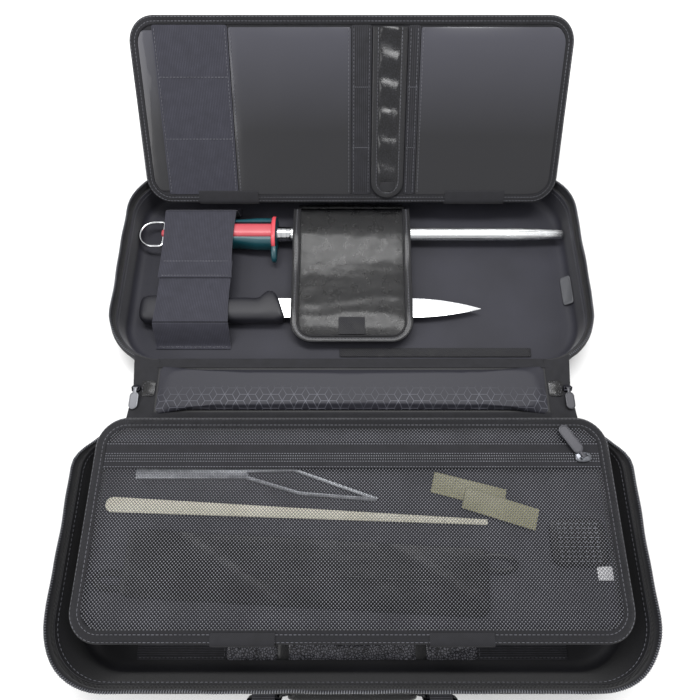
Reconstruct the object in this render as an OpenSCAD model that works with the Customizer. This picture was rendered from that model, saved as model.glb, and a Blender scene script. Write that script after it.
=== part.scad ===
// Zip-round chef knife case, lying open: a deep base in front,
// a shallower lid behind it and a padded spine between.
// Origin: centre of the base's underside. X runs along the spine, Y from the base to the lid, Z up.

/* [Case] */
// Outer width of both halves
case_w = 464; // [420:2:500]
// Outer depth of each half, front to back
half_l = 212; // [204:1:224]
// Height of the base, floor to zip
base_h = 65; // [63:1:72]
// Height of the lid, floor to zip
lid_h = 45; // [44:1:52]
// Height of the walls that carry the spine
hinge_z = 30; // [26:1:32]
// Thickness of the moulded shells
wall = 5; // [4:0.5:6]
// Corner radius of the halves, seen from above
corner_r = 50; // [46:1:56]
// Radius between floor and walls, outside
floor_r = 14; // [10:1:18]
// Length over which the rim drops towards the spine
dip_l = 50; // [40:1:60]
// Thickness of the lining
lining_t = 1; // [0.8:0.1:1.4]

/* [Main zip] */
// Height of the zip tape above the shell
zip_h = 10; // [8:0.5:12]
// Thickness of the zip tape
tape_t = 1.6; // [1.2:0.1:2]
// Width of the row of teeth
teeth_w = 3; // [2.4:0.1:3.6]
// Height of the row of teeth
teeth_h = 2.5; // [2:0.1:3]
// Clearance between the two rims when shut
rim_gap = 0.6; // [0.4:0.1:1]

/* [Spine] */
// Thickness of the spine's outer cover
cover_t = 1.4; // [1:0.1:2]
// Crown of the spine pad above its cover
pad_h = 6; // [4:0.5:6.5]
// How far the gusset wings reach beyond the pad
wing_l = 20; // [16:1:24]

/* [Mesh page] */
// Distance from the case's side to the mesh page
mesh_side = 18; // [16:1:24]
// Length of the mesh page, hinge to free edge
mesh_l = 172; // [160:1:174]
// Thickness of the mesh page at its binding
mesh_t = 8; // [7:0.5:9]
// Height of the top of the mesh page above the base's underside
mesh_z = 63; // [62:0.5:63.5]
// Width of the mesh page's binding
mesh_rim = 10; // [9:0.5:13]
// Corner radius of both pages
page_r = 25; // [20:1:30]
// Thickness of the net
net_t = 0.8; // [0.6:0.1:1]
// Gaps of the net along the page
net_cols = 24; // [16:1:24]
// Rows of gaps across the page
net_rows = 12; // [6:1:12]
// Width of the cords between the net's gaps
net_cord = 2.4; // [1.8:0.1:3]

/* [Sleeve page] */
// Distance from the case's side to the sleeve page
sleeve_side = 20; // [19:1:28]
// Length of the sleeve page, hinge to free edge
sleeve_l = 171; // [160:1:171]
// Thickness of the sleeve page's board
board_t = 3; // [2.5:0.5:3.5]
// Width of the sleeve page's binding
sleeve_rim = 8; // [6:0.5:10]
// Lean of the open sleeve page above the horizontal
lean = 42; // [38:1:46]
// Distance from the lid's far wall to the page's hinge edge
page_gap = 26.4; // [24:0.2:26.4]
// Width of the leather strap on the sleeve page
strap_w = 33; // [28:1:36]
// Thickness of the leather strap
strap_t = 1.8; // [1.4:0.1:2]

/* [Sharpening steel] */
// Clearance between the rod's tip and the lining
tip_gap = 3.6; // [3:0.2:40]
// Diameter of the rod
rod_d = 13; // [10:0.5:14]
// Length of the handle
grip_l = 111; // [100:1:112]
// Height of the guard
guard_h = 26; // [24:0.5:26.5]
// Distance of the steel from the lid's far wall
steel_gap = 58; // [56:1:60]

/* [Knife] */
// Length of the knife's handle
knife_grip_l = 148; // [130:1:150]
// Width of the knife's handle over its swells
knife_grip_w = 30; // [26:0.5:34]
// Thickness of the knife's handle
knife_grip_t = 20; // [16:0.5:21]
// Length of the blade
blade_l = 194; // [150:2:200]
// Height of the blade
blade_w = 21; // [18:0.5:24]
// Thickness of the blade
blade_t = 2; // [1.6:0.1:2.4]

/* [Leather flap and band] */
// Width of the leather flap
flap_w = 122; // [110:2:130]
// Thickness of the leather flap
flap_t = 2.6; // [2:0.2:3]
// Width of the holding band
band_w = 74; // [60:2:76]
// Thickness of the holding band
band_t = 1.6; // [1.2:0.1:2]

/* [Carry handle] */
// Length of the grip
carry_l = 100; // [90:2:130]
// Depth of the grip
carry_h = 22; // [18:1:24]
// Thickness of the grip
carry_t = 11; // [9:0.5:12]
// Height of the handle's pivot
carry_z = 44; // [43:1:46]

/* [Hidden] */
$fn = 48;

// Clearance between pieces that only lie against each other
clear = 0.3;
// Overlap of pieces that are sewn or moulded into one
sunk = 0.4;
// Play of a wire in its eye, across the diameter
pin_fit = 0.16;

// Places along Y: the two fold lines and the middle of the lid
fold_a = half_l / 2;
spine_w = base_h + lid_h - 2 * hinge_z + rim_gap;
fold_b = fold_a + spine_w;
lid_y = fold_b + half_l / 2;
far_wall = lid_y + half_l / 2 - wall;
near_wall = fold_b + wall;
// Half length of the straight stretch of the spine
spine_x = case_w / 2 - corner_r;
// Half width inside the lining
inner_x = case_w / 2 - wall - lining_t;
mesh_w = case_w - 2 * mesh_side;
sleeve_w = case_w - 2 * sleeve_side;
// Height on which the contents of each half lie
rest_z = wall + lining_t + clear;

// Rim height at distance y from the middle of a half, falling smoothly to the fold line
function ease(t) = (1 - cos(180 * min(1, max(0, t)))) / 2;
function dip(y) = ease((y - half_l / 2 + dip_l) / dip_l);
function rim_z(h, y) = h - (h - hinge_z) * dip(y);
dip_steps = 8;

// A half's outline swept with the 2D shape in children: x is outwards from the outline, y is up
module around() {
    for (sx = [-1, 1], sy = [-1, 1])
        translate([sx * (case_w / 2 - corner_r), sy * (half_l / 2 - corner_r), 0])
            rotate([0, 0, sx > 0 ? (sy > 0 ? 0 : 270) : (sy > 0 ? 90 : 180)])
                rotate_extrude(angle = 90) translate([corner_r, 0]) children();
    for (side = [-1, 1]) {
        translate([0, side * half_l / 2, 0]) rotate([0, 0, side * 90]) rotate([90, 0, 0])
            linear_extrude(2 * spine_x, center = true) children();
        translate([side * case_w / 2, 0, 0]) rotate([0, 0, side > 0 ? 0 : 180]) rotate([90, 0, 0])
            linear_extrude(half_l - 2 * corner_r, center = true) children();
    }
}

// Space under a line that follows the rim at the given drop, which closes to the fold line at the spine
module under_rim(h, drop) {
    y0 = half_l / 2 - dip_l;
    line = [for (i = [0:dip_steps]) let (y = y0 + dip_l * i / dip_steps)
        [y, rim_z(h, y) - drop * (1 - dip(y))]];
    rotate([90, 0, 90]) linear_extrude(2 * case_w, center = true)
        polygon(concat([[half_l, -h], [-half_l, -h], [-half_l, h - drop]], line, [[half_l, hinge_z]]));
}

// Everything but the straight wall that carries the spine
module off_spine() {
    difference() {
        translate([-case_w, -half_l, -1]) cube([2 * case_w, 2 * half_l, base_h + lid_h]);
        translate([-spine_x, 0, -2]) cube([2 * spine_x, 2 * half_l, base_h + lid_h + 2]);
    }
}

module plate(w, l, r, t) {
    linear_extrude(t) rounded(w, l, r);
}

module rounded(w, l, r) {
    difference() {
        square([w, l], center = true);
        for (sx = [-1, 1], sy = [-1, 1]) translate([sx * (w / 2 - r), sy * (l / 2 - r)])
            difference() {
                translate([sx > 0 ? 0 : -2 * r, sy > 0 ? 0 : -2 * r]) square(2 * r);
                circle(r);
            }
    }
}

// Section of a moulded shell's wall with its rounded foot
module shell_section(h, outer_r, t, foot) {
    difference() {
        translate([-outer_r - 1, foot]) square([outer_r + 1, h - foot]);
        translate([-outer_r - 2, foot + t]) square([outer_r + 2 - t, h]);
        translate([-outer_r, foot]) difference() {
            square(outer_r + 1);
            translate([0, outer_r]) circle(outer_r);
            translate([-1, outer_r]) square(outer_r + 2);
        }
    }
    difference() {
        translate([-outer_r, foot]) square(outer_r);
        translate([-outer_r, foot + outer_r]) difference() {
            translate([-1, -outer_r - 1]) square([outer_r + 2, outer_r + 2]);
            circle(outer_r);
        }
        translate([-outer_r, foot + outer_r]) circle(outer_r - t);
    }
}

module shell(h) {
    intersection() {
        union() {
            around() shell_section(h, floor_r, wall, 0);
            plate(case_w - 2 * floor_r, half_l - 2 * floor_r, corner_r - floor_r, wall);
        }
        under_rim(h, zip_h);
    }
}

module lining(h) {
    inner_r = floor_r - wall;
    intersection() {
        union() {
            around() translate([-wall, 0]) shell_section(h, inner_r, lining_t, wall);
            translate([0, 0, wall])
                plate(case_w - 2 * floor_r, half_l - 2 * floor_r, corner_r - floor_r, lining_t);
        }
        under_rim(h, zip_h);
    }
}

module zip_tape(h) {
    intersection() {
        difference() {
            around() translate([-wall / 2 - tape_t / 2, hinge_z - 1]) square([tape_t, h]);
            under_rim(h, zip_h);
        }
        under_rim(h, teeth_h);
        off_spine();
    }
}

module zip_teeth(h) {
    intersection() {
        difference() {
            around() translate([-wall / 2 - teeth_w / 2, hinge_z - 1]) square([teeth_w, h]);
            under_rim(h, teeth_h);
        }
        under_rim(h, 0);
        off_spine();
    }
}

// Puts a half built like the base behind the spine, with its fold line towards the base
module as_lid() {
    translate([0, lid_y, 0]) mirror([0, 1, 0]) children();
}

module base_shell() {
    color("#232327") shell(base_h);
}

module base_lining() {
    color("#2c2c30") lining(base_h);
}

module base_zip_tape() {
    color("#1c1c1f") zip_tape(base_h);
}

module base_zip_teeth() {
    color("#3a3a3d") zip_teeth(base_h);
}

module lid_shell() {
    color("#232327") as_lid() shell(lid_h);
}

module lid_lining() {
    color("#2c2c30") as_lid() lining(lid_h);
}

module lid_zip_tape() {
    color("#1c1c1f") as_lid() zip_tape(lid_h);
}

module lid_zip_teeth() {
    color("#3a3a3d") as_lid() zip_teeth(lid_h);
}

// Row of tool holders that lies on the base's floor along the front wall
row_w = 18;
row_y = floor_r + row_w / 2 + clear - half_l / 2;
patch_x = 82;
patch_w = 42;
keeper_w = 9;
pocket_w = 2 * (patch_x - patch_w / 2 - keeper_w);
webbing_l = spine_x - 5 - patch_x - patch_w / 2;

module on_row(x) {
    translate([x, row_y, wall + lining_t]) children();
}

module floor_webbing() {
    color("#2a2a2d") for (side = [-1, 1])
        on_row(side * (patch_x + patch_w / 2 + webbing_l / 2)) plate(webbing_l, row_w, 1, 1.4);
}

module floor_patches() {
    color("#333336") for (side = [-1, 1]) on_row(side * patch_x) plate(patch_w, row_w, 2, 1.8);
}

module floor_keepers() {
    color("#1f1f22") for (side = [-1, 1])
        on_row(side * (patch_x - patch_w / 2 - keeper_w / 2)) plate(keeper_w, row_w, 1, 2.6);
}

// The pocket's mouth is cut in a long shallow curve
module floor_pocket() {
    mouth_r = 260;
    mouth_depth = 6;
    color("#36363a") on_row(0) linear_extrude(2.2) difference() {
        square([pocket_w, row_w], center = true);
        translate([0, row_w / 2 - mouth_depth + mouth_r]) circle(mouth_r, $fn = 180);
    }
}

// Mesh page: it lies over the base and turns forward about its front edge
mesh_bottom = mesh_z - mesh_t;
mesh_back = fold_a - cover_t - pad_h - clear - 0.3;
mesh_front = mesh_back - mesh_l;
mesh_mid = (mesh_front + mesh_back) / 2;
backing_t = 1.4;
tab_w = 48;
tab_t = 1.4;
mesh_tab_x = mesh_w * 0.19;

// Two fabric tabs sewn to the floor carry the page's front edge
module mesh_page_tabs() {
    foot_l = 12;
    foot_z = wall + lining_t;
    color("#252528") for (side = [-1, 1])
        translate([side * mesh_tab_x - tab_w / 2, mesh_front + 1, foot_z]) {
            cube([tab_w, foot_l, tab_t]);
            cube([tab_w, tab_t, mesh_bottom - clear - foot_z]);
        }
}

module mesh_outline(inset) {
    translate([0, mesh_mid]) rounded(mesh_w - 2 * inset, mesh_l - 2 * inset, page_r - inset);
}

module mesh_page_backing() {
    inset = mesh_rim - 2;
    color("#202023") translate([0, 0, mesh_bottom]) linear_extrude(backing_t) mesh_outline(inset);
}

module mesh_page_binding() {
    seat = mesh_rim - 2;
    color("#28282b") difference() {
        translate([0, 0, mesh_bottom]) linear_extrude(mesh_t) mesh_outline(0);
        translate([0, 0, mesh_bottom - 1]) linear_extrude(mesh_t + 2) mesh_outline(mesh_rim);
        translate([0, 0, mesh_bottom - 1]) linear_extrude(1 + backing_t) mesh_outline(seat);
        translate([0, 0, mesh_z - net_t]) linear_extrude(net_t + 1) mesh_outline(seat);
    }
}

// The pocket's zip runs across the page near its free edge
zip_y = mesh_back - 34;
pocket_tape_w = 10;
chain_w = 4.4;
net_w = mesh_w - 2 * mesh_rim;
net_back = zip_y - chain_w / 2 - pocket_tape_w;
net_front = mesh_front + mesh_rim;
col_pitch = net_w / net_cols;
row_step = (net_back - net_front) / (net_rows + 1);

// Diamond gaps, every second row set over by half a gap
module mesh_page_net() {
    color("#3b3b3f") translate([0, 0, mesh_z - net_t]) linear_extrude(net_t) difference() {
        mesh_outline(mesh_rim - 2);
        translate([-mesh_w / 2, net_back]) square([mesh_w, 2 * pocket_tape_w + chain_w]);
        for (j = [0:net_rows - 1], i = [0:net_cols - 1 - j % 2])
            translate([-net_w / 2 + (i + 0.5 + (j % 2) / 2) * col_pitch, net_front + (j + 1) * row_step])
                polygon([[-col_pitch / 2 + net_cord / 2, 0], [0, -row_step + net_cord / 2],
                    [col_pitch / 2 - net_cord / 2, 0], [0, row_step - net_cord / 2]]);
    }
}

module pocket_tapes() {
    tape_z = mesh_z - net_t;
    color("#1d1d20") translate([0, 0, tape_z]) linear_extrude(net_t + 0.4) intersection() {
        mesh_outline(mesh_rim);
        for (side = [-1, 1]) translate([0, zip_y + side * (chain_w + pocket_tape_w) / 2])
            square([net_w, pocket_tape_w], center = true);
    }
}

module pocket_teeth() {
    color("#4a4a4e") translate([-net_w / 2, zip_y - chain_w / 2, mesh_z - net_t])
        cube([net_w, chain_w, net_t + 0.8]);
}

// Things kept in the mesh pocket lie on its backing.
// Each place is counted from the page's free edge and from its left or right edge,
// and the bar and the pouch keep their gap to the binding when the page gets wider.
tool_z = mesh_bottom + backing_t + 0.1;
mesh_left = -mesh_w / 2;
mesh_right = mesh_w / 2;
bar_gap = 4.42;
bar_end = 105.42;
bar_l = mesh_w - mesh_rim - bar_gap - bar_end;
pouch_gap = 2.3333;
pouch_l = mesh_w * 2 / 3;
pouch_loop = [32, 16];
loop_out = 7;
ribbed_case = [44, 36];
ribbed_case_gap = 3;
tongs_at = [mesh_left + 36, mesh_back - 51, tool_z];
bar_at = [mesh_left + mesh_rim + bar_gap + bar_l / 2, mesh_back - 78, tool_z];
guards_at = [[mesh_right - 150, mesh_back - 61.5], [mesh_right - 126, mesh_back - 74]];
pouch_reach = pouch_l / 2 + loop_out + pouch_loop[0] / 2;
pouch_at = [mesh_left + mesh_rim + pouch_gap + pouch_reach, mesh_back - 122, tool_z];
case_at = [mesh_right - mesh_rim - ribbed_case_gap - ribbed_case[0] / 2, mesh_back - 100, tool_z];

// Spring tongs: a flat strip that ends in a long loop of wire
module tongs() {
    flat_l = mesh_w * 0.215;
    loop_l = mesh_w * 0.252;
    wire = 3;
    nose = [[flat_l - 6, 8], [flat_l + loop_l * 0.35, 9], [flat_l + loop_l, -15],
        [flat_l + loop_l * 0.97, -18], [flat_l + loop_l * 0.4, -13], [flat_l - 6, 1]];
    color("#c9cacc") translate(tongs_at) {
        cube([flat_l, 9, wire]);
        linear_extrude(wire) difference() {
            polygon(nose);
            offset(delta = -wire) polygon(nose);
        }
    }
}

// Flat bar, wide and round at one end and narrow at the other
module long_bar() {
    wide = 12;
    narrow = 4.4;
    color("#dcd8c4") translate(bar_at) rotate([0, 0, -2.6]) linear_extrude(3) {
        translate([(wide - bar_l) / 2, 0]) circle(d = wide);
        polygon([[(wide - bar_l) / 2, -wide / 2], [bar_l / 2, -narrow / 2], [bar_l / 2, narrow / 2],
            [(wide - bar_l) / 2, wide / 2]]);
    }
}

// Two blade guards lie over each other at a slant
module blade_guards() {
    guard = [60, 17, 2.1];
    color("#d6d2b0") for (i = [0, 1])
        translate([guards_at[i][0], guards_at[i][1], tool_z + i * (guard[2] + 0.1)])
            rotate([0, 0, -14 - 3 * i]) cube(guard);
}

// Folded pouch with a carrying loop at each end, and a small ribbed case beside it
module tool_pouch() {
    pouch_w = 50;
    loop = pouch_loop;
    band = 4.6;
    color("#17171a") translate(pouch_at) rotate([0, 0, -3]) {
        plate(pouch_l, pouch_w, 8, 4.6);
        for (side = [-1, 1])
            translate([side * (pouch_l / 2 + loop_out), side * 14, 0]) linear_extrude(2.6) difference() {
                rounded(loop[0], loop[1], loop[1] / 2 - 0.1);
                rounded(loop[0] - 2 * band, loop[1] - 2 * band, loop[1] / 2 - band - 0.1);
            }
    }
    color("#17171a") translate(case_at) plate(ribbed_case[0], ribbed_case[1], 5, 3.4);
}

// Slider of the pocket's zip, parked at the right end of its chain
slider_x = net_w / 2 - 14;
slider_z = mesh_z + 0.8 + 0.1;
slider_l = 13;
slider_w = 8.5;
slider_h = 2;
puller_l = 30;
puller_w = 9;
puller_turn = 122;
pin_d = 1.6;
puller_z = slider_z + slider_h + pin_d / 2 + 0.1;

// A zip slider along X: a flat body with two ears, turned to the puller, that carry its pin
module slider(l, w, h, turn) {
    ear_t = 1;
    ear_gap = 4.4;
    hull() for (end = [-1, 1])
        translate([end * (l / 2 - w * 0.35), 0, 0]) cylinder(d = w * (end > 0 ? 0.7 : 1), h = h, $fn = 24);
    rotate([0, 0, turn]) for (side = [-1, 1])
        translate([-1.2, side * (ear_gap / 2 + ear_t / 2) - ear_t / 2, h - sunk])
            cube([2.4, ear_t, pin_d + 0.6 + sunk]);
}

// A puller along +X from its pin, which turns between the slider's ears
module puller(l, w, t) {
    pin_l = 4;
    rotate([90, 0, 0]) cylinder(d = pin_d, h = pin_l, center = true, $fn = 24);
    translate([0, -1.4, -t / 2]) cube([4.4, 2.8, t]);
    translate([4 + (l - 4) / 2, 0, -t / 2]) plate(l - 4, w, w / 2 - 0.1, t);
}

module pocket_slider() {
    color("#4b4b50") translate([slider_x, zip_y, slider_z])
        slider(slider_l, slider_w, slider_h, puller_turn);
}

module pocket_puller() {
    color("#77787c") translate([slider_x, zip_y, puller_z]) rotate([0, 0, puller_turn])
        puller(puller_l, puller_w, 1.4);
}

// Spine: an outer cover that bends at both fold lines, with a crowned pad on its inner face
module spine_cover() {
    color("#202024") translate([-spine_x, fold_a + clear, hinge_z])
        cube([2 * spine_x, spine_w - 2 * clear, cover_t]);
}

// Crown of the pad: it falls to a thin edge all round and draws in between its corners
pad_cols = 36;
pad_rows = 12;
pad_edge = 1.6;
function pad_fall(t, n) = pow(1 - pow(abs(t), n), 0.6);
function pad_lift(u, v) = pad_edge + (pad_h - pad_edge) * pad_fall(v, 2.4) * pad_fall(u, 14);
function pad_pull(u) = 1 - 0.03 * (1 - u * u);

module spine_pad() {
    half_w = spine_x - 1;
    half_d = spine_w / 2 - 1;
    top = [for (i = [0:pad_cols], j = [0:pad_rows]) let (u = 2 * i / pad_cols - 1, v = 2 * j / pad_rows - 1)
        [u * half_w, v * half_d * pad_pull(u), pad_lift(u, v)]];
    foot = [for (p = top) [p[0], p[1], 0]];
    n = len(top);
    row = pad_rows + 1;
    faces = [for (i = [0:pad_cols - 1], j = [0:pad_rows - 1]) let (k = i * row + j)
        each [[k, k + 1, k + row + 1], [k, k + row + 1, k + row],
              [n + k, n + k + row + 1, n + k + 1], [n + k, n + k + row, n + k + row + 1]]];
    ends = [for (j = [0:pad_rows - 1], i = [0, pad_cols]) let (k = i * row + j)
        each (i == 0 ? [[k, n + k, n + k + 1], [k, n + k + 1, k + 1]]
                     : [[k, n + k + 1, n + k], [k, k + 1, n + k + 1]])];
    sides = [for (i = [0:pad_cols - 1], j = [0, pad_rows]) let (k = i * row + j)
        each (j == 0 ? [[k, n + k + row, n + k], [k, k + row, n + k + row]]
                     : [[k, n + k, n + k + row], [k, n + k + row, k + row]])];
    color("#34343a") translate([0, (fold_a + fold_b) / 2, hinge_z + cover_t])
        polyhedron(concat(top, foot), concat(faces, ends, sides));
}

// Fabric wings that close the corner beside each end of the pad
wing_t = 1.4;
module gussets() {
    color("#242427") for (side = [-1, 1]) scale([side, 1, 1])
        translate([spine_x, 0, hinge_z]) linear_extrude(wing_t)
            polygon([[0, fold_a + 5], [wing_l, fold_a + spine_w * 0.42], [wing_l, fold_a + spine_w * 0.62],
                [0, fold_b - 5]]);
}

// Stitched tabs over the ends of the zip
module zip_end_tabs() {
    color("#3c3c40") for (side = [-1, 1])
        translate([side * (spine_x + wing_l * 0.3), main_slider_y, hinge_z + wing_t])
            plate(wing_l * 0.56, 15, 2.5, 1.4);
}

main_slider_x = spine_x + wing_l - 3.4;
main_slider_y = fold_a + spine_w * 0.52;
main_puller_l = 20;
main_slider_h = 2.4;
main_pin_z = hinge_z + wing_t + main_slider_h + pin_d / 2 + 0.1;

module main_sliders() {
    color("#5a5a5e") for (side = [-1, 1])
        translate([side * main_slider_x, main_slider_y, hinge_z + wing_t]) slider(8, 7, main_slider_h, -90);
}

module main_puller(side) {
    color("#47474b") translate([side * main_slider_x, main_slider_y, main_pin_z])
        rotate([0, 0, -90]) puller(main_puller_l, 8, 1.4);
}

module left_puller() {
    main_puller(-1);
}

module right_puller() {
    main_puller(1);
}

// Carry handle on the outside of the front wall
carry_y = -half_l / 2 - 7;
carry_x = carry_l / 2 + 16;
ring_wire = 3;
ring_w = 26;
ring_drop = 12;
strap_band = 20;
strap_t2 = 2.8;

module handle_anchors() {
    barrel_l = ring_w - 2 * ring_wire - 2;
    color("#2a2a2d") for (side = [-1, 1]) translate([side * carry_x, 0, carry_z]) {
        translate([-ring_w / 2, -half_l / 2 - 1.6, -14]) cube([ring_w, 1.6, 20]);
        difference() {
            union() {
                translate([-barrel_l / 2, carry_y, 0]) rotate([0, 90, 0])
                    cylinder(d = ring_wire + 3, h = barrel_l);
                translate([-barrel_l / 2, carry_y, -ring_wire / 2 - 1.5])
                    cube([barrel_l, -half_l / 2 - carry_y - 1, ring_wire + 3]);
            }
            translate([-barrel_l, carry_y, 0]) rotate([0, 90, 0])
                cylinder(d = ring_wire + pin_fit, h = 2 * barrel_l);
        }
    }
}

module handle_rings() {
    color("#8d8f93") for (side = [-1, 1]) translate([side * carry_x, carry_y, carry_z]) {
        for (drop = [0, ring_drop])
            translate([-ring_w / 2, 0, -drop]) rotate([0, 90, 0]) cylinder(d = ring_wire, h = ring_w);
        for (end = [-1, 1]) translate([end * (ring_w - ring_wire) / 2, 0, -ring_drop])
            cylinder(d = ring_wire, h = ring_drop);
    }
}

// Webbing that runs from each ring into a slot in the grip's end
module handle_straps() {
    lean_in = 14;
    half = strap_band / 2 - 1;
    strap_end = -carry_h / 2 - 6;
    color("#222225") for (side = [-1, 1]) scale([side, 1, 1])
        translate([carry_x, carry_y, carry_z - ring_drop]) difference() {
            union() {
                translate([-half, 0, 0]) rotate([0, 90, 0]) cylinder(d = ring_wire + 3, h = 2 * half);
                translate([0, strap_t2 / 2, 0]) rotate([90, 0, 0]) linear_extrude(strap_t2)
                    polygon([[-half, 0], [half, 0], [half - lean_in, strap_end],
                        [-half - lean_in, strap_end]]);
            }
            translate([-strap_band, 0, 0]) rotate([0, 90, 0])
                cylinder(d = ring_wire + pin_fit, h = 2 * strap_band);
        }
}

module handle_grip() {
    grip_z = carry_z - ring_drop - carry_h / 2 - 3;
    slot_l = 28;
    slot_t = strap_t2 + clear;
    color("#1d1d20") translate([0, carry_y, grip_z]) difference() {
        hull() for (end = [-1, 1], up = [-1, 1])
            translate([end * (carry_l - carry_t) / 2, 0, up * (carry_h - carry_t) / 2])
                sphere(d = carry_t, $fn = 32);
        for (side = [-1, 1]) translate([side * carry_l / 2 - slot_l / 2, -slot_t / 2, -carry_h])
            cube([slot_l, slot_t, 2 * carry_h]);
    }
}

// Sharpening steel, along X near the lid's far wall
steel_y = far_wall - steel_gap;
steel_z = rest_z + guard_h / 2;
guard_t = 6;
ferrule_l = 14;
ferrule_d = rod_d + 1.8;
grip_h = guard_h - 4;
core_h = 18;
sides_t = 8;
ring_wire_d = 3.2;
ring_bow_r = 14.5;
ring_reach = 10.5;
ring_gap = 1.4;
ring_pin_x = ring_gap + ring_wire_d / 2 + ring_bow_r + ring_reach - inner_x;
guard_x = ring_pin_x + 3.4 + grip_l + guard_t;
rod_l = inner_x - tip_gap - guard_x;

module steel_rod() {
    tip_l = 50;
    color("#d5d7da") translate([guard_x, steel_y, steel_z]) rotate([0, 90, 0]) {
        cylinder(d = rod_d, h = rod_l - tip_l);
        translate([0, 0, rod_l - tip_l]) cylinder(d1 = rod_d, d2 = rod_d * 0.55, h = tip_l);
    }
}

module steel_ferrule() {
    color("#b8babd") translate([guard_x, steel_y, steel_z]) rotate([0, 90, 0]) difference() {
        cylinder(d1 = ferrule_d + 1, d2 = ferrule_d, h = ferrule_l);
        translate([0, 0, -1]) cylinder(d = rod_d, h = ferrule_l + 2);
    }
}

// Flat oval guard, wider across the lid than it is high, with a curled lip on its near side
module steel_guard() {
    guard_w = 38;
    lip = [20, 12];
    color("#0e4a52") translate([guard_x - guard_t, steel_y, steel_z]) rotate([90, 0, 90])
        linear_extrude(guard_t) {
            rounded(guard_w, guard_h, guard_h / 2 - 0.5);
            translate([-guard_w / 2 - 2, 0]) rounded(lip[0], lip[1], lip[1] / 2 - 0.1);
        }
}

module steel_core() {
    color("#c2363c") translate([guard_x - guard_t - grip_l, steel_y, steel_z]) rotate([90, 0, 90])
        linear_extrude(grip_l) rounded(core_h, grip_h, 5);
    color("#c2363c") translate([guard_x - guard_t - grip_l - 5, steel_y, steel_z]) difference() {
        translate([0, -4, -5]) cube([5.4, 8, 10]);
        translate([1.6, 0, 0]) rotate([90, 0, 0]) cylinder(d = ring_wire_d + pin_fit, h = 20, center = true);
    }
}

// Two dark cheeks swell towards the guard and the butt
module steel_sides() {
    color("#0f454d") translate([0, steel_y, 0]) {
        steel_cheek();
        mirror([0, 1, 0]) steel_cheek();
    }
}

module steel_cheek() {
    start = guard_x - guard_t - grip_l;
    swell = [[0, 0], [grip_l, 0], [grip_l, sides_t], [grip_l * 0.86, sides_t], [grip_l * 0.7, sides_t * 0.7],
        [grip_l * 0.3, sides_t * 0.8], [grip_l * 0.08, sides_t], [0, sides_t * 0.6]];
    translate([start, core_h / 2, steel_z - grip_h / 2 + 1.5]) linear_extrude(grip_h - 3) polygon(swell);
}

// The D ring lies flat and turns in the eye at the butt
module steel_ring() {
    wire = ring_wire_d;
    bow_r = ring_bow_r;
    reach = ring_reach;
    color("#cfd1d4") translate([ring_pin_x, steel_y, steel_z]) {
        rotate([90, 0, 0]) cylinder(d = wire, h = 2 * bow_r, center = true);
        for (side = [-1, 1]) translate([0, side * bow_r, 0]) {
            rotate([0, -90, 0]) cylinder(d = wire, h = reach);
            sphere(d = wire, $fn = 24);
        }
        translate([-reach, 0, 0]) rotate([0, 0, 90]) rotate_extrude(angle = 180)
            translate([bow_r, 0]) circle(d = wire);
    }
}

// Narrow knife, along X in the near half of the lid
knife_y = near_wall + 60;
butt_gap = 14;
knife_x = butt_gap + knife_grip_l - inner_x;
knife_side = knife_grip_w * 0.6;

// The handle's outline in shares of its length and width.
// Its back is straight and its other edge swells into a finger guard.
grip_back = [[-0.997, -0.26], [-0.993, -0.43], [-0.96, -0.56], [-0.88, -0.57], [-0.68, -0.5], [-0.39, -0.53],
    [-0.08, -0.54], [-0.035, -0.5], [-0.02, -0.38]];
grip_edge = [[-0.06, 0.23], [-0.08, 0.43], [-0.1, 0.56], [-0.135, 0.59], [-0.162, 0.5], [-0.19, 0.34],
    [-0.225, 0.3], [-0.27, 0.33], [-0.39, 0.31], [-0.61, 0.31], [-0.81, 0.37], [-0.93, 0.41], [-0.975, 0.36],
    [-0.997, 0.26]];

module grip_outline() {
    outline = [for (p = concat(grip_back, grip_edge)) [p[0] * knife_grip_l, p[1] * knife_grip_w]];
    offset(r = 2) offset(delta = -2) polygon(outline);
}

module knife_handle() {
    color("#18181a") translate([knife_x, knife_y, rest_z]) linear_extrude(knife_grip_t) grip_outline();
}

// The blade ends against the handle's slanted front, and both its edges curve to the point
module knife_blade() {
    straight = 0.62;
    low_rise = 0.44;
    high_fall = 0.54;
    steps = 8;
    function station(i) = blade_l * (straight + (1 - straight) * i / steps);
    curve = [for (i = [0:steps]) [station(i), blade_w * (low_rise * pow(i / steps, 2) - 0.5)]];
    back = [for (i = [steps:-1:0]) [station(i), blade_w * (0.5 - high_fall * pow(i / steps, 2))]];
    color("#e4e6e8") translate([knife_x, knife_y, rest_z + knife_grip_t / 2 - blade_t / 2])
        linear_extrude(blade_t) difference() {
            polygon(concat([[-14, -blade_w / 2]], curve, back, [[-14, blade_w / 2]]));
            grip_outline();
        }
}

// A sheet of even thickness whose middle line runs through the points [y, z]
function normal(a, b) = let (d = b - a) [-d[1], d[0]] / norm(d);
function side_points(line, off) = [for (i = [0:len(line) - 1])
    let (n0 = normal(line[max(0, i - 1)], line[max(1, i)]),
         n1 = normal(line[min(len(line) - 2, i)], line[min(len(line) - 1, i + 1)]),
         m = (n0 + n1) / norm(n0 + n1))
    line[i] + m * off / max(0.5, m * n0)];

module sheet(line, t, w) {
    pts = concat(side_points(line, t / 2), [for (i = [len(line) - 1:-1:0]) side_points(line, -t / 2)[i]]);
    rotate([90, 0, 90]) linear_extrude(w, center = true) polygon(pts);
}

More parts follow.
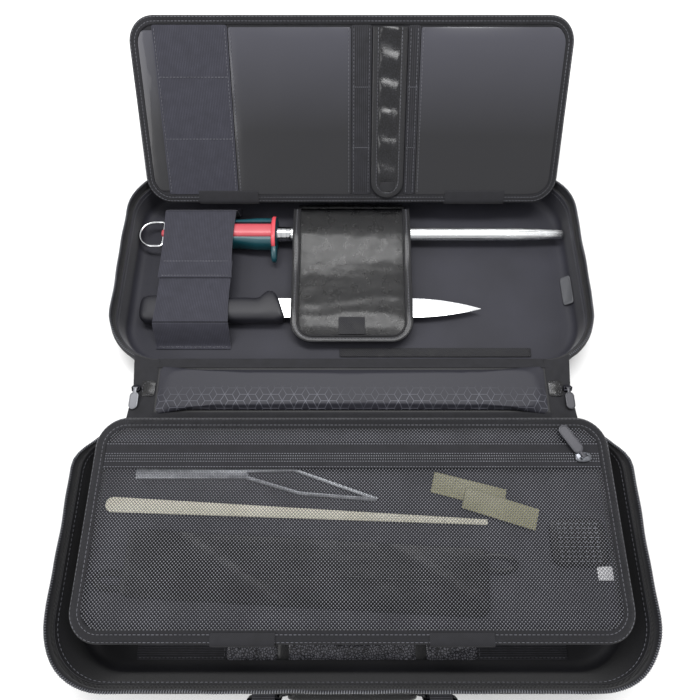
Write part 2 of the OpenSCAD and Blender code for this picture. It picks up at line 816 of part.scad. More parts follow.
// The holding band: sewn roots at both walls, and two leaves that lap over each other between the tools
guard_side = 37;
band_x = guard_x - guard_t - guard_side - band_w / 2;
steel_top = steel_z + grip_h / 2 + clear + band_t / 2;
knife_top = rest_z + knife_grip_t + clear + band_t / 2;
steel_half = core_h / 2 + sides_t + 3;
far_hinge = [steel_y + steel_half, steel_top];
near_hinge = [knife_y - knife_side - 2, knife_top];
// Over the lap the two leaves run side by side up the straight line from the knife to the steel
lap_step = band_t + clear;
lap_start = [knife_y + knife_side, knife_top];
lap_end = [steel_y - steel_half + 2, steel_top];
lap_a = lap_start[0] + 10;
lap_b = lap_start[0] + 29;
lap_slope = (lap_end[1] - lap_start[1]) / (lap_end[0] - lap_start[0]);
function lap_z(y) = lap_start[1] + lap_slope * (y - lap_start[0]);
seam_gap = [1.4, -0.6];

module band_roots() {
    floor_z = wall + lining_t + band_t / 2;
    far_foot = far_hinge[0] + 8;
    near_foot = near_hinge[0] - 21;
    color("#2f2f33") translate([band_x, 0, 0]) {
        sheet([far_hinge + seam_gap, [far_hinge[0] + 5, far_hinge[1] - 5], [far_foot, floor_z + 4],
            [far_foot + 3, floor_z], [far_foot + 13, floor_z]], band_t, band_w);
        sheet([[near_foot, floor_z], [near_foot + 4, floor_z], [near_hinge[0] - 11, floor_z + 8],
            [near_hinge[0] - 5, near_hinge[1] - 4], near_hinge + [-seam_gap[0], seam_gap[1]]],
            band_t, band_w);
    }
}

module band_far() {
    color("#2b2b2f") translate([band_x, 0, 0])
        sheet([far_hinge, lap_end, [lap_a, lap_z(lap_a)]], band_t, band_w);
}

module band_near() {
    color("#29292d") translate([band_x, 0, 0])
        sheet([near_hinge, lap_start - [4, 0], [lap_a - 5, lap_z(lap_a - 5) - lap_step],
            [lap_b, lap_z(lap_b) - lap_step]], band_t, band_w);
}

// Leather flap over the rod and the blade; its root is sewn down behind the rod
rod_top = steel_z + rod_d / 2;
flap_hinge = [steel_y + 25, rod_top + 0.9];
flap_tip = knife_y - 38;
flap_line = [flap_hinge, [steel_y, rod_top + 2.6], [steel_y - 14, rod_top + 0.4],
    [steel_y - 40, rest_z + 14.8], [knife_y + 12, rest_z + 13.8], [knife_y - 12, rest_z + 13.6],
    [flap_tip, rest_z + 9.5]];
flap_r = 22;
flap_gap = 2.6;
flap_x = max(guard_x + ferrule_l, knife_x) + flap_gap + flap_w / 2;

module flap_root() {
    floor_z = wall + lining_t + flap_t / 2;
    foot = steel_y + 39;
    color("#3a3a3e") translate([flap_x, 0, 0])
        sheet([flap_hinge + [2.4, -0.5], [steel_y + 35, flap_hinge[1] - 6], [foot, floor_z + 5],
            [foot - 1, floor_z + 1], [foot - 4, floor_z], [foot - 12, floor_z]], flap_t, flap_w - 10);
}

// Outline of the flap seen from above, square at its sewn end
module flap_outline(inset) {
    near = flap_tip;
    far = flap_hinge[0] + 4;
    translate([flap_x, 0]) difference() {
        translate([-flap_w / 2 + inset, near + inset]) square([flap_w - 2 * inset, far - near]);
        for (side = [-1, 1]) translate([side * (flap_w / 2 - flap_r), near + flap_r]) difference() {
            translate([side > 0 ? 0 : -2 * flap_r, -2 * flap_r]) square(2 * flap_r);
            circle(flap_r - inset);
        }
    }
}

flap_edge = 7;

module flap_panel() {
    color("#2d2d31") translate([flap_x, 0, 0]) intersection() {
        sheet(flap_line, flap_t, flap_w);
        linear_extrude(base_h) flap_outline(flap_edge);
    }
}

module flap_binding() {
    color("#1b1b1e") translate([flap_x, 0, 0]) intersection() {
        sheet(flap_line, flap_t + 1, flap_w);
        difference() {
            linear_extrude(base_h) flap_outline(0);
            translate([0, 0, -1]) linear_extrude(base_h + 2) flap_outline(flap_edge);
        }
    }
}

module flap_hook_tab() {
    tab = [26, 17.5, 1.2];
    n = len(flap_line);
    slope = flap_line[n - 2] - flap_line[n - 1];
    color("#1c1c1f") translate([flap_x, flap_tip, flap_line[n - 1][1]])
        rotate([atan2(slope[1], slope[0]), 0, 0])
            translate([-tab[0] / 2, flap_edge + 1, flap_t / 2]) cube(tab);
}

// Hook tape on the floor by the near wall, where the flap closes
module hook_strip() {
    start = flap_x - 12;
    color("#242427") translate([start, near_wall + 11, wall + lining_t]) cube([spine_x - 4 - start, 9, 1.6]);
}

// Plain rubber tag that stands across the rounded foot of the right wall
module side_tag() {
    foot_r = floor_r - wall - lining_t;
    tag = [foot_r * sqrt(2), 31, 1.6];
    color("#55565a") translate([inner_x - foot_r, lid_y - 34, wall + lining_t])
        rotate([0, -45, 0]) cube(tag);
}

// Sleeve page: it leans back on the rounded corners of the far rim, and folds down over the lid's contents
page_edge_y = far_wall - page_gap;
lean_r = corner_r - wall / 2 - teeth_w / 2;
lean_y = lid_y + half_l / 2 - corner_r + sqrt(pow(lean_r, 2) - pow(corner_r - sleeve_side, 2));
back_skin = 0.5;
bind_up = 0.8;
page_edge_z = lid_h + (clear + back_skin) / cos(lean) - (lean_y - page_edge_y) * tan(lean);

// Stands the page's own frame at its open pose: X along the case, Y up the page, Z out of its inner face
module on_page() {
    translate([0, page_edge_y, page_edge_z]) rotate([lean, 0, 0]) children();
}

module sleeve_outline(inset) {
    translate([0, sleeve_l / 2]) rounded(sleeve_w - 2 * inset, sleeve_l - 2 * inset, page_r - inset);
}

module sleeve_page_board() {
    color("#26262a") on_page() linear_extrude(board_t) sleeve_outline(sleeve_rim - 3);
}

module sleeve_page_binding() {
    color("#1d1d20") on_page() difference() {
        translate([0, 0, -back_skin]) linear_extrude(board_t + back_skin + bind_up) sleeve_outline(0);
        translate([0, 0, -2]) linear_extrude(board_t + 4) sleeve_outline(sleeve_rim);
        linear_extrude(board_t) sleeve_outline(sleeve_rim - 3);
    }
}

// Places across the sleeve page, from its left edge to its right edge
band_left = -sleeve_w / 2 + 23;
pocket_a = band_left + 72;
pocket_b = -1;
strap_left = 20;
pocket_c = 66;
page_top = sleeve_l - sleeve_rim - 0.5;
page_foot = sleeve_rim + 0.5;

module on_board(x0, x1, y0, y1, t) {
    translate([x0, y0, board_t]) cube([x1 - x0, y1 - y0, t]);
}

module sleeve_page_band() {
    color("#303034") on_page() on_board(band_left, pocket_a - 1, page_foot, page_top, 1.2);
}

module sleeve_pockets() {
    pocket_t = 0.8;
    color("#3d3d42") on_page() {
        on_board(pocket_a, pocket_b, page_foot, page_top - 2, pocket_t);
        translate([0, 0, board_t]) linear_extrude(pocket_t) intersection() {
            sleeve_outline(sleeve_rim + 0.5);
            translate([pocket_c, 0]) square([sleeve_w, page_top - 2]);
        }
    }
}

module sleeve_page_strips() {
    color("#2a2a2e") on_page() {
        on_board(band_left - 12, band_left - 1, page_foot + 16, page_top - 16, 0.7);
        on_board(pocket_b + 1, strap_left - 1, page_foot, page_top, 1);
        on_board(strap_left + strap_w + 1, pocket_c - 1, page_foot, page_top, 1);
    }
}

// Leather strap down the middle of the page, free at its rounded foot and hinged at its top
strap_z = board_t + bind_up + clear;
strap_hinge_u = page_top - 2;
module page_strap() {
    foot = page_foot - 4;
    color("#2e2e33") on_page() translate([strap_left + strap_w / 2, 0, strap_z]) linear_extrude(strap_t) {
        translate([-strap_w / 2, foot + strap_w / 2]) square([strap_w, strap_hinge_u - foot - strap_w / 2]);
        translate([0, foot + strap_w / 2]) circle(strap_w / 2);
    }
}

module page_strap_tab() {
    color("#19191b") on_page() translate([strap_left + strap_w / 2, page_foot + 8, strap_z + strap_t])
        plate(14, 9, 1, 0.8);
}

// Fabric tabs from the lid's far wall that carry the sleeve page's hinge edge
module sleeve_page_tabs() {
    wall_y = far_wall - lining_t - tab_t / 2;
    color("#252528") for (side = [-1, 1]) translate([side * sleeve_w * 0.302, 0, 0])
        sheet([[page_edge_y + 1.4, page_edge_z - 2.9], [page_edge_y + 8, page_edge_z - 2.4],
            [wall_y - 5, page_edge_z - 5], [wall_y - 1, page_edge_z - 8], [wall_y, page_edge_z - 11],
            [wall_y, floor_r + 1.5]], tab_t, sleeve_w * 0.146);
}

base_shell();
base_lining();
base_zip_tape();
base_zip_teeth();
floor_webbing();
floor_patches();
floor_keepers();
floor_pocket();
mesh_page_tabs();
handle_anchors();
handle_rings();
handle_straps();
handle_grip();
spine_cover();
spine_pad();
gussets();
zip_end_tabs();
main_sliders();
left_puller();
right_puller();
mesh_page_backing();
mesh_page_net();
mesh_page_binding();
pocket_tapes();
pocket_teeth();
tongs();
long_bar();
blade_guards();
tool_pouch();
pocket_slider();
pocket_puller();
lid_shell();
lid_lining();
lid_zip_tape();
lid_zip_teeth();
band_roots();
band_far();
band_near();
flap_root();
flap_panel();
flap_binding();
flap_hook_tab();
hook_strip();
side_tag();
sleeve_page_tabs();
steel_rod();
steel_ferrule();
steel_guard();
steel_core();
steel_sides();
steel_ring();
knife_blade();
knife_handle();
sleeve_page_board();
sleeve_page_binding();
sleeve_page_band();
sleeve_pockets();
sleeve_page_strips();
page_strap();
page_strap_tab();
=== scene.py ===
# %% [markdown]
# # A zip-round knife case, lying open
#
# The case is two moulded halves covered in cloth, joined by a padded spine. The near half is deep and
# holds a netted page over its hollow. The far half is shallow and holds a sharpening steel and a knife,
# and a second page leans back on its far rim.
#
# The solids come in already measured and jointed. This lesson dresses them: soft things become sheets
# of cloth and leather, and hard things get a finish that shows how they were made.

# %% Load the measured solids
import bpy, bmesh, math
import numpy as np
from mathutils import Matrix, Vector


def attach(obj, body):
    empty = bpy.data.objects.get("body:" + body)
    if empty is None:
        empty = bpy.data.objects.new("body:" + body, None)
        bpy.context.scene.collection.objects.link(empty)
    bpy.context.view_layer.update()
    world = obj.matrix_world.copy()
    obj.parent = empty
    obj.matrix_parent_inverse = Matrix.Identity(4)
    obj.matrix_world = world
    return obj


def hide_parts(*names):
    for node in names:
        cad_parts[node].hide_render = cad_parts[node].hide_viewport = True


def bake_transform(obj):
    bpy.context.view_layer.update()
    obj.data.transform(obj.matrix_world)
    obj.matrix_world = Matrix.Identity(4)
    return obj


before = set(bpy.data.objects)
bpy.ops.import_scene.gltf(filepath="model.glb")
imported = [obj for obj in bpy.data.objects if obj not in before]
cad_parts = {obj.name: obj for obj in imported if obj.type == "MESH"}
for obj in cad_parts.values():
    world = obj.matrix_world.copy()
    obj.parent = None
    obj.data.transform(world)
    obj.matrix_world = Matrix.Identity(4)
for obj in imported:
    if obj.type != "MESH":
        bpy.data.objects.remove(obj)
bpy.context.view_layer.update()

# %% [markdown]
# ## Sizes
#
# All lengths below are in millimetres, as on a maker's drawing. A mesh is scaled to metres in one place,
# at the last step, so every number can be read with a ruler in mind.

# %% The sizes of the case
case_w, half_l, base_h, lid_h = 464, 212, 65, 45
corner_r, floor_z = 50, 6.0
dip_l, hinge_z = 50, 30               # the rim falls to the fold line over this length, to this height
zip_h, teeth_h = 10, 2.5
fold_a, spine_w = 106, 50.6           # first fold line, and the distance to the second
fold_b = fold_a + spine_w
spine_mid = fold_a + spine_w / 2
lid_y = fold_b + half_l / 2           # middle of the far half
spine_x = case_w / 2 - corner_r
row_y, row_w = -82.7, 18              # the row of holders on the near floor
mesh_w, mesh_l, mesh_mid, mesh_z = 428, 172, 12, 63
mesh_rim, page_r = 10, 25             # width of a page's bound edge, and its corners
sleeve_w, sleeve_l, lean = 424, 171, math.radians(42)
page_edge_y, page_edge_z = 337.2, 31.43
steel_y, steel_z, guard_x = 305.6, 19.3, -77.6
knife_x, knife_y, knife_z = -64, 221.6, 16.3
band_x, band_w = -157.6, 74
left_right = ((-1, "left"), (1, "right"))
print("open", case_w, "mm wide and", 2 * half_l + spine_w, "mm front to back")

# %% [markdown]
# ## The camera
#
# The photograph was taken from above the near half, looking down at about 69 degrees. A lens of 28.3 mm on
# a 36 mm sensor gives the same spread of lines.

# %% Put the camera where the photographer stood
camera = bpy.data.objects.new("camera", bpy.data.cameras.new("camera"))
camera.data.sensor_width, camera.data.lens, camera.data.clip_start = 36, 28.3, 0.01
camera.location = (-0.0017, -0.0137, 0.519)
camera.rotation_euler = (math.radians(20.7), 0, 0)
bpy.context.collection.objects.link(camera)
bpy.context.scene.camera = camera
print("camera at", tuple(round(v, 4) for v in camera.location))

# %% [markdown]
# ## Nodes and colours
#
# Every finish below is a small tree of nodes. One helper adds a node: an input is given either a socket,
# which is linked, or a plain value. Colours are read off as sRGB hex values, as in a paint program, and
# turned to the linear numbers that the renderer works in.

# %% A helper that adds a node, and one that reads a colour
def add(tree, kind, inputs=(), **settings):
    node = tree.nodes.new("ShaderNode" + kind)
    for key, value in settings.items():
        setattr(node, key, value)
    for key, value in dict(inputs).items():
        if isinstance(value, bpy.types.NodeSocket):
            tree.links.new(value, node.inputs[key])
        else:
            node.inputs[key].default_value = value
    return node


def linear(text):
    parts = [int(text[i:i + 2], 16) / 255 for i in (1, 3, 5)]
    return tuple(v / 12.92 if v <= 0.04045 else ((v + 0.055) / 1.055) ** 2.4 for v in parts) + (1,)


print("mid grey is", round(linear("#808080")[0], 3), "in linear light")

# %% [markdown]
# ## Light and floor
#
# The object stands on white with soft light all round. A broad lamp hangs above the far half, where the
# slope of the leather flap mirrors it into the lens while level cloth doesn't: this shows the flap's curve.
# The full white of the surroundings is kept for the camera's own rays and for what metal and film reflect.

# %% White surroundings, two soft lamps and a pale floor
world = bpy.data.worlds.new("white studio")
bpy.context.scene.world = world
world.use_nodes = True
sky = world.node_tree
sky.nodes.clear()
ray = add(sky, "LightPath")
seen = add(sky, "Math", {0: ray.outputs["Is Camera Ray"], 1: ray.outputs["Is Transmission Ray"]},
           operation="MAXIMUM")
seen = add(sky, "Math", {0: seen.outputs[0], 1: ray.outputs["Is Glossy Ray"]}, operation="MAXIMUM")
fill = add(sky, "Background", {"Color": (1, 1, 1, 1), "Strength": 0.8})
white = add(sky, "Background", {"Color": (1, 1, 1, 1), "Strength": 1.0})
both = add(sky, "MixShader", {0: seen.outputs[0], 1: fill.outputs[0], 2: white.outputs[0]})
add(sky, "OutputWorld", {"Surface": both.outputs[0]})


def lamp(name, place, aim, size, power):
    light = bpy.data.lights.new(name, "AREA")
    light.shape, light.size, light.size_y, light.energy = "RECTANGLE", size[0], size[1], power
    made = bpy.data.objects.new(name, light)
    made.location = place
    made.rotation_euler = (Vector(aim) - Vector(place)).to_track_quat("-Z", "Y").to_euler()
    bpy.context.collection.objects.link(made)


lamp("top softbox", (0.05, 0.44, 1.1), (0, 0.25, 0), (1.0, 0.22), 11)
lamp("side softbox", (-1.0, -0.2, 1.0), (0, 0.15, 0), (0.7, 0.7), 6)
bpy.context.scene.view_settings.view_transform = "Standard"

floor_mesh = bpy.data.meshes.new("studio_floor")
floor_mesh.from_pydata([(-4, -4, 0), (4, -4, 0), (4, 4, 0), (-4, 4, 0)], [], [(0, 1, 2, 3)])
studio_floor = bpy.data.objects.new("studio_floor", floor_mesh)
bpy.context.collection.objects.link(studio_floor)
paper = bpy.data.materials.new("matt white paper sweep")
paper.use_nodes = True
paper.node_tree.nodes["Principled BSDF"].inputs["Base Color"].default_value = linear("#f4f4f4")
paper.node_tree.nodes["Principled BSDF"].inputs["Roughness"].default_value = 0.9
paper.node_tree.nodes["Principled BSDF"].inputs["Specular IOR Level"].default_value = 0.1
floor_mesh.materials.append(paper)
print("world, lamps and floor are set")

# %% [markdown]
# ## Where a pattern comes from
#
# A weave follows the thread, not the room, so each sheet made below stores how far every point lies along
# and across it, in millimetres, in an attribute named weave. Solids that are kept use their own place in
# space instead. Threads finer than about a millimetre would vanish at this distance, so the ribs and
# weaves are drawn a little coarser than the real ones, as a drawing would.

# %% Start a finish: its shader, and its two ways to measure
def finish(name, colour, roughness, **sockets):
    made = bpy.data.materials.new(name)
    made.use_nodes = True
    made.diffuse_color = linear(colour)
    tree = made.node_tree
    tree.nodes.clear()
    shader = add(tree, "BsdfPrincipled", {"Base Color": linear(colour), "Roughness": roughness})
    for key, value in sockets.items():
        shader.inputs[key.replace("_", " ")].default_value = value
    add(tree, "OutputMaterial", {"Surface": shader.outputs[0]})
    along = add(tree, "Attribute", attribute_name="weave").outputs["Vector"]
    place = add(tree, "TexCoord").outputs["Object"]
    place = add(tree, "VectorMath", {0: place, "Scale": 1000.0}, operation="SCALE").outputs[0]
    return made, tree, shader, along, place


def waves(tree, vector, axis, pitch):
    """A sine across one axis of a vector in millimetres, one wave for each pitch."""
    part = add(tree, "SeparateXYZ", {0: vector}).outputs[axis]
    turn = add(tree, "Math", {0: part, 1: 2 * math.pi / pitch}, operation="MULTIPLY")
    return add(tree, "Math", {0: turn.outputs[0]}, operation="SINE").outputs[0]


def relief(tree, shader, height, depth):
    """Sets the shader's bump from a height between 0 and 1 and a depth in millimetres."""
    bump = add(tree, "Bump", {"Height": height, "Distance": depth * 0.001, "Strength": 1.0})
    tree.links.new(bump.outputs[0], shader.inputs["Normal"])


def two_tone(tree, shader, mask, low, high):
    """Colours the shader between two hex colours by a mask from 0 to 1."""
    mix = add(tree, "Mix", {0: mask, 6: linear(low), 7: linear(high)}, data_type="RGBA")
    tree.links.new(mix.outputs[2], shader.inputs["Base Color"])


print("finishes can be started")

# %% [markdown]
# ### Ballistic polyester
#
# The outer cloth of the shells is a tight basket weave of filament yarn, heat-moulded over foam. The yarn
# has a dull shine on its crowns, so the weave goes to colour, roughness and bump. The real yarns are
# about 0.7 mm apart; here they are 1.4 mm.

# %% Basket-woven polyester of the outer shells
shell_cloth, tree, shader, along, place = finish("basket-woven polyester", "#1a1a1d", 0.6, Sheen_Weight=0.15)
yarn_pair = 2.8                       # two yarns of the weave, in millimetres
basket = add(tree, "Math", {0: waves(tree, place, 0, yarn_pair), 1: waves(tree, place, 1, yarn_pair)},
             operation="MULTIPLY")
upright = add(tree, "Math", {0: basket.outputs[0], 1: waves(tree, place, 2, yarn_pair)}, operation="ADD")
mask = add(tree, "MapRange", {0: upright.outputs[0], 1: -1.2, 2: 1.2}).outputs[0]
two_tone(tree, shader, mask, "#0a0a0c", "#18181b")
relief(tree, shader, mask, 0.25)

# %% [markdown]
# ### Brushed lining
#
# The lining is a thin tricot bonded to the foam: even, dark, slightly blue, with no visible weave but a
# soft nap that lightens at glancing angles. A broad, weak noise keeps it from looking like paint. The deep
# half's lining is a darker copy of the same cloth: painted shade, for the shade that falls in that half.

# %% Tricot lining
lining_cloth, tree, shader, along, place = finish("bonded tricot lining", "#1b1b21", 0.62, Sheen_Weight=0.25,
                                                  Sheen_Roughness=0.4, Specular_IOR_Level=0.3)
nap = add(tree, "TexNoise", {"Vector": place, "Scale": 0.02, "Detail": 2.0}).outputs[0]
two_tone(tree, shader, nap, "#1f1f25", "#2f2f38")
grain = add(tree, "TexNoise", {"Vector": place, "Scale": 0.9, "Detail": 3.0}).outputs[0]
relief(tree, shader, grain, 0.12)
# The deep half gets a darker copy of the lining: painted shade for the shade under its page.
lining_cloth_painted_shade = lining_cloth.copy()
lining_cloth_painted_shade.name = "bonded tricot lining, painted shade"
shade = next(node for node in lining_cloth_painted_shade.node_tree.nodes if node.bl_idname == "ShaderNodeMix")
shade.inputs[6].default_value, shade.inputs[7].default_value = linear("#0e0e11"), linear("#1b1b20")
lining_cloth_painted_shade.node_tree.nodes["Principled BSDF"].inputs["Sheen Weight"].default_value = 0.1

# %% [markdown]
# ### Narrow weaves: zip tape, binding, webbing and elastic
#
# Eight cloths are woven narrow or plain, and differ in their ribs. Zip tape is a flat herringbone. Grosgrain
# binding has cross ribs. Webbing has heavy ribs across its length, and elastic has fine ribs along it,
# because its rubber cores lie that way. They share one tree with a different pitch and direction.

# %% Eight narrow weaves, by rib direction and pitch in millimetres
def ribbed(name, low, high, axis, pitch, depth, cross=None, roughness=0.7):
    made, tree, shader, along, place = finish(name, high, roughness, Sheen_Weight=0.1,
                                              Specular_IOR_Level=0.25)
    ribs = waves(tree, along, axis, pitch)
    if cross:
        crossing = waves(tree, along, 1 - axis, cross)
        ribs = add(tree, "Math", {0: ribs, 1: crossing}, operation="MULTIPLY").outputs[0]
    mask = add(tree, "MapRange", {0: ribs, 1: -1.0, 2: 1.0}).outputs[0]
    worn = add(tree, "TexNoise", {"Vector": place, "Scale": 0.12, "Detail": 3.0}).outputs[0]
    mask = add(tree, "Math", {0: mask, 1: worn}, operation="MULTIPLY").outputs[0]
    two_tone(tree, shader, mask, low, high)
    relief(tree, shader, mask, depth)
    return made


zip_cloth = ribbed("herringbone zip tape", "#0f0f13", "#28282e", 0, 1.8, 0.15, cross=1.8)
binding_cloth = ribbed("grosgrain binding", "#0e0e11", "#2a2a30", 0, 1.5, 0.2)
webbing_cloth = ribbed("polypropylene webbing", "#141417", "#4a4a52", 0, 1.7, 0.35, roughness=0.55)
elastic_cloth = ribbed("ribbed elastic", "#25252d", "#3f3f4a", 0, 1.6, 0.1)
hook_cloth = ribbed("hook tape", "#0b0b0d", "#34343a", 0, 2.2, 0.6, cross=2.2, roughness=0.5)
strip_cloth = ribbed("finely ribbed tape", "#101013", "#34343b", 0, 2.0, 0.2)
fold_cloth = ribbed("plain-woven fold cloth", "#121215", "#2b2b31", 0, 1.4, 0.15, cross=1.4)
backing_cloth = ribbed("close-woven backing", "#26262b", "#3c3c43", 0, 1.4, 0.12, cross=1.4)
print("eight narrow weaves")

# %% [markdown]
# ### Coated leather
#
# The patches, the flap and the strap are leather split with a glossy coat. Its grain is a net of fine
# creases between pebbles about a millimetre across, best made from the distance to Voronoi cell edges. A
# slower noise makes the coat shine more in some places than in others.

# %% Glossy coated leather
def leather(name, low, high, roughness, pebble, depth, coat=0.25):
    made, tree, shader, along, place = finish(name, high, roughness, Coat_Weight=coat, Coat_Roughness=0.18,
                                              Specular_IOR_Level=0.25)
    warp = add(tree, "TexNoise", {"Vector": place, "Scale": 0.35, "Detail": 2.0}).outputs["Color"]
    moved = add(tree, "VectorMath", {0: place, 1: warp}, operation="ADD").outputs[0]
    creases = add(tree, "TexVoronoi", {"Vector": moved, "Scale": 1 / pebble},
                  feature="DISTANCE_TO_EDGE").outputs[0]
    creases = add(tree, "MapRange", {0: creases, 1: 0.0, 2: 0.22}, interpolation_type="SMOOTHSTEP").outputs[0]
    broad = add(tree, "TexNoise", {"Vector": place, "Scale": 0.1, "Detail": 4.0}).outputs[0]
    mottle = add(tree, "Math", {0: creases, 1: broad}, operation="MULTIPLY").outputs[0]
    two_tone(tree, shader, mottle, low, high)
    shine = add(tree, "MapRange", {0: broad, 1: 0.3, 2: 0.7, 3: roughness - 0.08, 4: roughness + 0.12})
    tree.links.new(shine.outputs[0], shader.inputs["Roughness"])
    relief(tree, shader, creases, depth)
    return made


coated_leather = leather("glossy coated leather", "#060607", "#131316", 0.29, 1.5, 0.12, coat=0.2)
edge_leather = leather("turned leather edge", "#0d0d10", "#222227", 0.4, 1.1, 0.12)
# The heavily glazed leather's crease grain is real. Its pale pebble tone is painted glint and painted light
# on the shaded floor row.
glazed_leather_painted_glints = leather("heavily glazed leather, painted glints", "#1e1e22", "#94949e", 0.22, 2.0, 0.4)
smooth_leather = leather("smooth glazed leather", "#0c0c0e", "#26262b", 0.2, 2.0, 0.05)
print("four leathers")

# %% [markdown]
# ### The pad's cover
#
# The spine pad is wrapped in smooth, slightly grainy sheeting with a pressed pattern of thin pale lines:
# rhombs that read as stacked blocks. It is a triangle grid in which every third corner is a star of six
# lines, and the side of each triangle that misses a star is left out. Each line direction is one pass of
# the same few sums, so the tree is built in a loop of three. Only the near part of the pad still shows
# the lines; they have worn off its crown.

# %% Pressed block lines on the pad's sheeting
block_side = 7.0
pad_cover, tree, shader, along, place = finish("pressed pad sheeting", "#2e2e35", 0.55,
                                               Specular_IOR_Level=0.3)
lines = None
for turn in (0, 60, 120):
    c, s = math.cos(math.radians(turn)), math.sin(math.radians(turn))
    across = add(tree, "VectorMath", {0: along, 1: (-s, c, 0)}, operation="DOT_PRODUCT").outputs["Value"]
    across = add(tree, "Math", {0: across, 1: block_side * math.sqrt(3) / 2}, operation="DIVIDE").outputs[0]
    row = add(tree, "Math", {0: across}, operation="ROUND").outputs[0]
    off = add(tree, "Math", {0: across, 1: row}, operation="SUBTRACT").outputs[0]
    off = add(tree, "Math", {0: off}, operation="ABSOLUTE").outputs[0]
    on_line = add(tree, "MapRange", {0: off, 1: 0.015, 2: 0.05, 3: 1.0, 4: 0.0}).outputs[0]
    run = add(tree, "VectorMath", {0: along, 1: (c, s, 0)}, operation="DOT_PRODUCT").outputs["Value"]
    run = add(tree, "Math", {0: run, 1: block_side}, operation="DIVIDE").outputs[0]
    shift = add(tree, "Math", {0: row, 1: 1.5}, operation="MULTIPLY").outputs[0]
    run = add(tree, "Math", {0: run, 1: shift}, operation="ADD").outputs[0]
    run = add(tree, "Math", {0: run, 1: 3.0}, operation="FLOORED_MODULO").outputs[0]
    gap = add(tree, "Math", {0: run, 1: 1.5}, operation="SUBTRACT").outputs[0]
    gap = add(tree, "Math", {0: gap}, operation="ABSOLUTE").outputs[0]
    kept = add(tree, "Math", {0: gap, 1: 0.5}, operation="GREATER_THAN").outputs[0]
    one = add(tree, "Math", {0: on_line, 1: kept}, operation="MULTIPLY").outputs[0]
    lines = one if lines is None else add(tree, "Math", {0: lines, 1: one}, operation="MAXIMUM").outputs[0]
worn = add(tree, "TexNoise", {"Vector": place, "Scale": 0.02, "Detail": 2.0}).outputs[0]
worn = add(tree, "MapRange", {0: worn, 1: 0.35, 2: 0.6, 3: 0.3, 4: 0.85}).outputs[0]
nearness = add(tree, "SeparateXYZ", {0: along}).outputs[1]
nearness = add(tree, "MapRange", {0: nearness, 1: 3.0, 2: -10.0, 3: 0.0, 4: 1.0}).outputs[0]
pressed = add(tree, "Math", {0: lines, 1: worn}, operation="MULTIPLY").outputs[0]
pressed = add(tree, "Math", {0: pressed, 1: nearness}, operation="MULTIPLY").outputs[0]
two_tone(tree, shader, pressed, "#2a2a31", "#6c6d76")
grain = add(tree, "TexNoise", {"Vector": place, "Scale": 1.4, "Detail": 3.0}).outputs[0]
relief(tree, shader, grain, 0.1)

# %% [markdown]
# ### Film, rubber and plastics
#
# The sleeve pockets are dark PVC film, which is smooth and a little wavy; its colour is painted lighter
# towards the open top, a painted highlight for the sheen there. The guards and the bar are polypropylene with
# the fine spark-eroded skin of their mould. The steel's handle is two-shot moulded: teal cheeks on a coral
# core, both ABS with a soft gloss.

# %% Moulded and calendered plastics, by hex colour, roughness and skin depth in millimetres
def moulded(name, low, high, roughness, skin_mm, depth, **sockets):
    made, tree, shader, along, place = finish(name, high, roughness, **sockets)
    skin = add(tree, "TexNoise", {"Vector": place, "Scale": 1 / skin_mm, "Detail": 2.0}).outputs[0]
    tone = add(tree, "TexNoise", {"Vector": place, "Scale": 0.03, "Detail": 1.0}).outputs[0]
    two_tone(tree, shader, tone, low, high)
    relief(tree, shader, skin, depth)
    return made


pocket_film = moulded("calendered vinyl film", "#17171b", "#212127", 0.3, 60, 0.5, Coat_Weight=0.25,
                      Specular_IOR_Level=0.35)
tree = pocket_film.node_tree
along = add(tree, "Attribute", attribute_name="weave").outputs["Vector"]
along = add(tree, "SeparateXYZ", {0: along}).outputs[0]
# Painted highlight: the film is coloured lighter from 60 to 150 mm up the page, for the lamp's sheen near its
# top.
painted_top_sheen = add(tree, "MapRange", {0: along, 1: 60.0, 2: 150.0})
two_tone(tree, tree.nodes["Principled BSDF"], painted_top_sheen.outputs[0], "#17171b", "#3a3a42")
teal_plastic = moulded("teal moulded handle", "#08323a", "#0e4650", 0.38, 1.2, 0.04, IOR=1.54)
coral_plastic = moulded("coral moulded core", "#a23a42", "#c2525b", 0.34, 1.2, 0.04, IOR=1.54)
cream_plastic = moulded("cream polypropylene", "#c4c0ac", "#dedbcc", 0.45, 0.8, 0.05, IOR=1.49)
khaki_plastic = moulded("khaki polypropylene", "#7f7c5c", "#a6a384", 0.45, 0.8, 0.05, IOR=1.49)
grey_plastic = moulded("dark grey moulded handle", "#18181d", "#222228", 0.5, 1.0, 0.06, IOR=1.53,
                       Specular_IOR_Level=0.35)
grey_rubber = moulded("grey moulded rubber", "#3d3e42", "#56575b", 0.6, 0.9, 0.06)
label_satin = moulded("white satin label", "#c9c9cd", "#e6e6e8", 0.5, 0.6, 0.03)
nylon_coil = moulded("nylon zip coil", "#2a2b30", "#777980", 0.35, 1.2, 0.03, IOR=1.53)
net_yarn = moulded("polyester net yarn", "#0e0e10", "#1e1e22", 0.5, 1.0, 0.03, Specular_IOR_Level=0.2)
# The knots are coloured much paler than the yarn: painted glints on the net.
net_knots_painted_glint = moulded("net knots, painted glint", "#4c4d54", "#7b7c84", 0.35, 1.0, 0.03)
pouch_cloth = moulded("folded black nylon", "#040405", "#0c0c0e", 0.34, 0.8, 0.15, Specular_IOR_Level=0.25)
thread = moulded("polyester thread", "#232327", "#6f7078", 0.5, 0.5, 0.02)
pale_thread = moulded("pale polyester thread", "#4c4d54", "#85868e", 0.5, 0.5, 0.02)
print("fourteen moulded and spun finishes")

# %% [markdown]
# ### Metals
#
# The rod and the blade are ground, and the marks run one way: across the blade, and along the rod, whose
# fine ridges do the honing. Stretched noise gives both. The ring, the ferrule and the sliders are plated,
# so they are smooth with faint tarnish.

